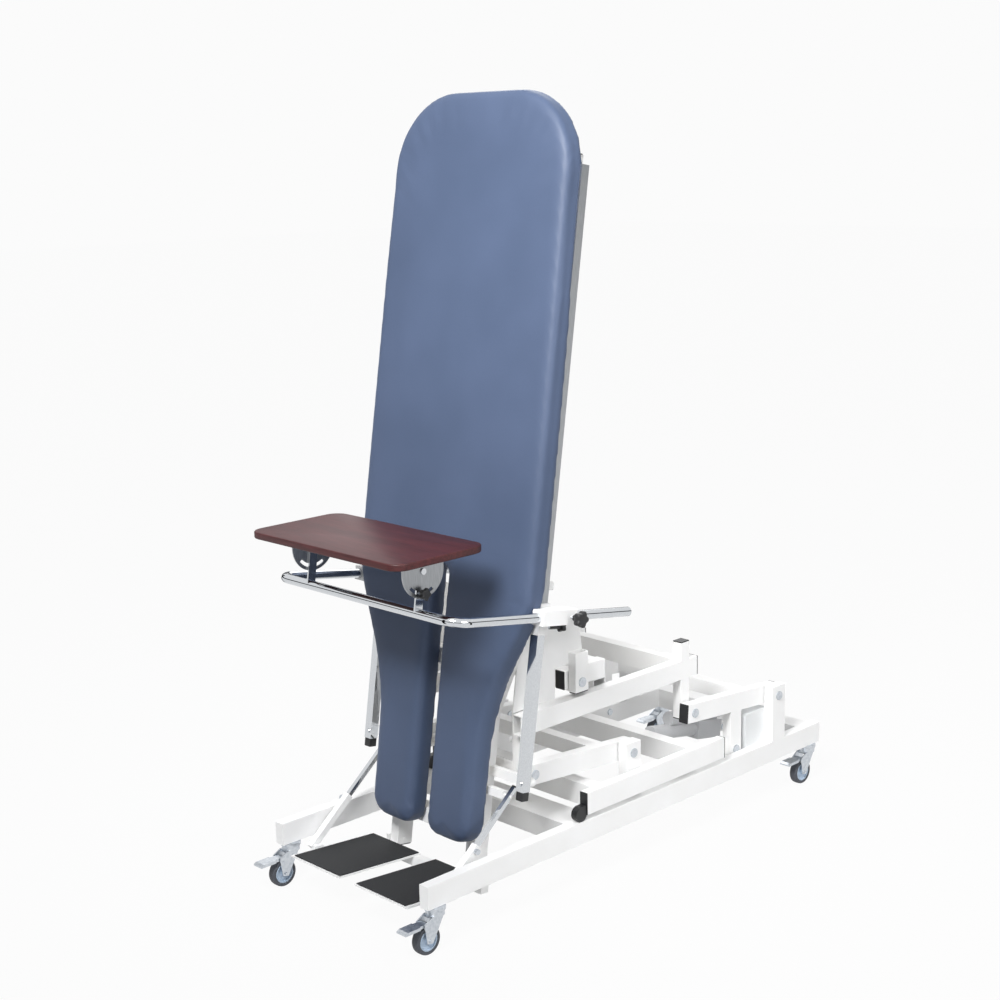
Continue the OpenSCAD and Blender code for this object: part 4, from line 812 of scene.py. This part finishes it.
def wall_band(tree):
    """What bright metals mirror: white all round, with a dark band of wall that is full from 2 to 12 degrees
    up."""
    way = add_node(tree, "ShaderNodeTexCoord").outputs["Generated"]
    split = add_node(tree, "ShaderNodeSeparateXYZ", links={"Vector": way})
    rise = add_node(tree, "ShaderNodeMapRange", values={"From Min": -1.0},
                    links={"Value": split.outputs["Z"]})
    ramp = add_node(tree, "ShaderNodeValToRGB", links={"Fac": rise.outputs["Result"]})
    for element, position in zip(ramp.color_ramp.elements, (BAND_START, BAND_END)):
        element.position = position
        element.color = linear("FFFFFF")
    for position in (BAND_FULL, BAND_FADE):
        ramp.color_ramp.elements.new(position).color = linear("3A3C40")
    return ramp.outputs["Color"]


def studio():
    """White surroundings to the eye, walls to bright metals, a plain soft light on the object, and the soft
    boxes."""
    world = bpy.data.worlds.new("studio")
    scene.world = world
    world.use_nodes = True
    tree = world.node_tree
    tree.nodes.clear()
    light = add_node(tree, "ShaderNodeBackground", values={"Color": linear("F7F8FA"), "Strength": SKY_LEVEL})
    white = add_node(tree, "ShaderNodeBackground", values={"Color": linear("FBFBFB"), "Strength": 1.0})
    mix = add_node(tree, "ShaderNodeMixShader", links={
        "Fac": seen_directly(tree), 1: light.outputs["Background"], 2: white.outputs["Background"]})
    walls = add_node(tree, "ShaderNodeBackground", links={"Color": wall_band(tree)})
    mirror = add_node(tree, "ShaderNodeLightPath").outputs["Is Glossy Ray"]
    all_rays = add_node(tree, "ShaderNodeMixShader", links={
        "Fac": mirror, 1: mix.outputs["Shader"], 2: walls.outputs["Background"]})
    add_node(tree, "ShaderNodeOutputWorld", links={"Surface": all_rays.outputs["Shader"]})
    for name, place, target, size, power in LAMPS:
        data = bpy.data.lights.new(name, "AREA")
        data.size = size
        data.spread = LAMP_SPREAD
        data.energy = power
        lamp = bpy.data.objects.new(name, data)
        lamp.location = place
        lamp.rotation_euler = (Vector(target) - Vector(place)).to_track_quat("-Z", "Y").to_euler()
        scene.collection.objects.link(lamp)
    scene.view_settings.view_transform = "Standard"


def flags():
    """Dark upright boards beside the object, turned to it. Only mirror rays meet them, so they draw the dark
    lines in the chrome and throw no shadow."""
    material = bpy.data.materials.new("black_flag")
    material.use_nodes = True
    tree = material.node_tree
    tree.nodes.clear()
    matt = add_node(tree, "ShaderNodeBsdfDiffuse", values={"Color": linear("1C1D1F")})
    add_node(tree, "ShaderNodeOutputMaterial", links={"Surface": matt.outputs["BSDF"]})
    for number, (place, width, height) in enumerate(FLAGS):
        bpy.ops.mesh.primitive_plane_add(size=1, location=place)
        flag = bpy.context.object
        flag.name = f"black_flag_{number}"
        flag.scale = (width, height, 1)
        flag.rotation_euler = (math.pi/2, 0, math.atan2(place[0], -place[1]))
        flag.data.materials.append(material)
        flag.visible_camera = False
        flag.visible_diffuse = False
        flag.visible_shadow = False
        flag.visible_transmission = False


photo_camera()
dress_nodes()
cushion()
tray_panel()
bent_tube()
knobs()
castor_wheels()
plugs()
floor()
flags()
studio()

bpy.context.view_layer.update()
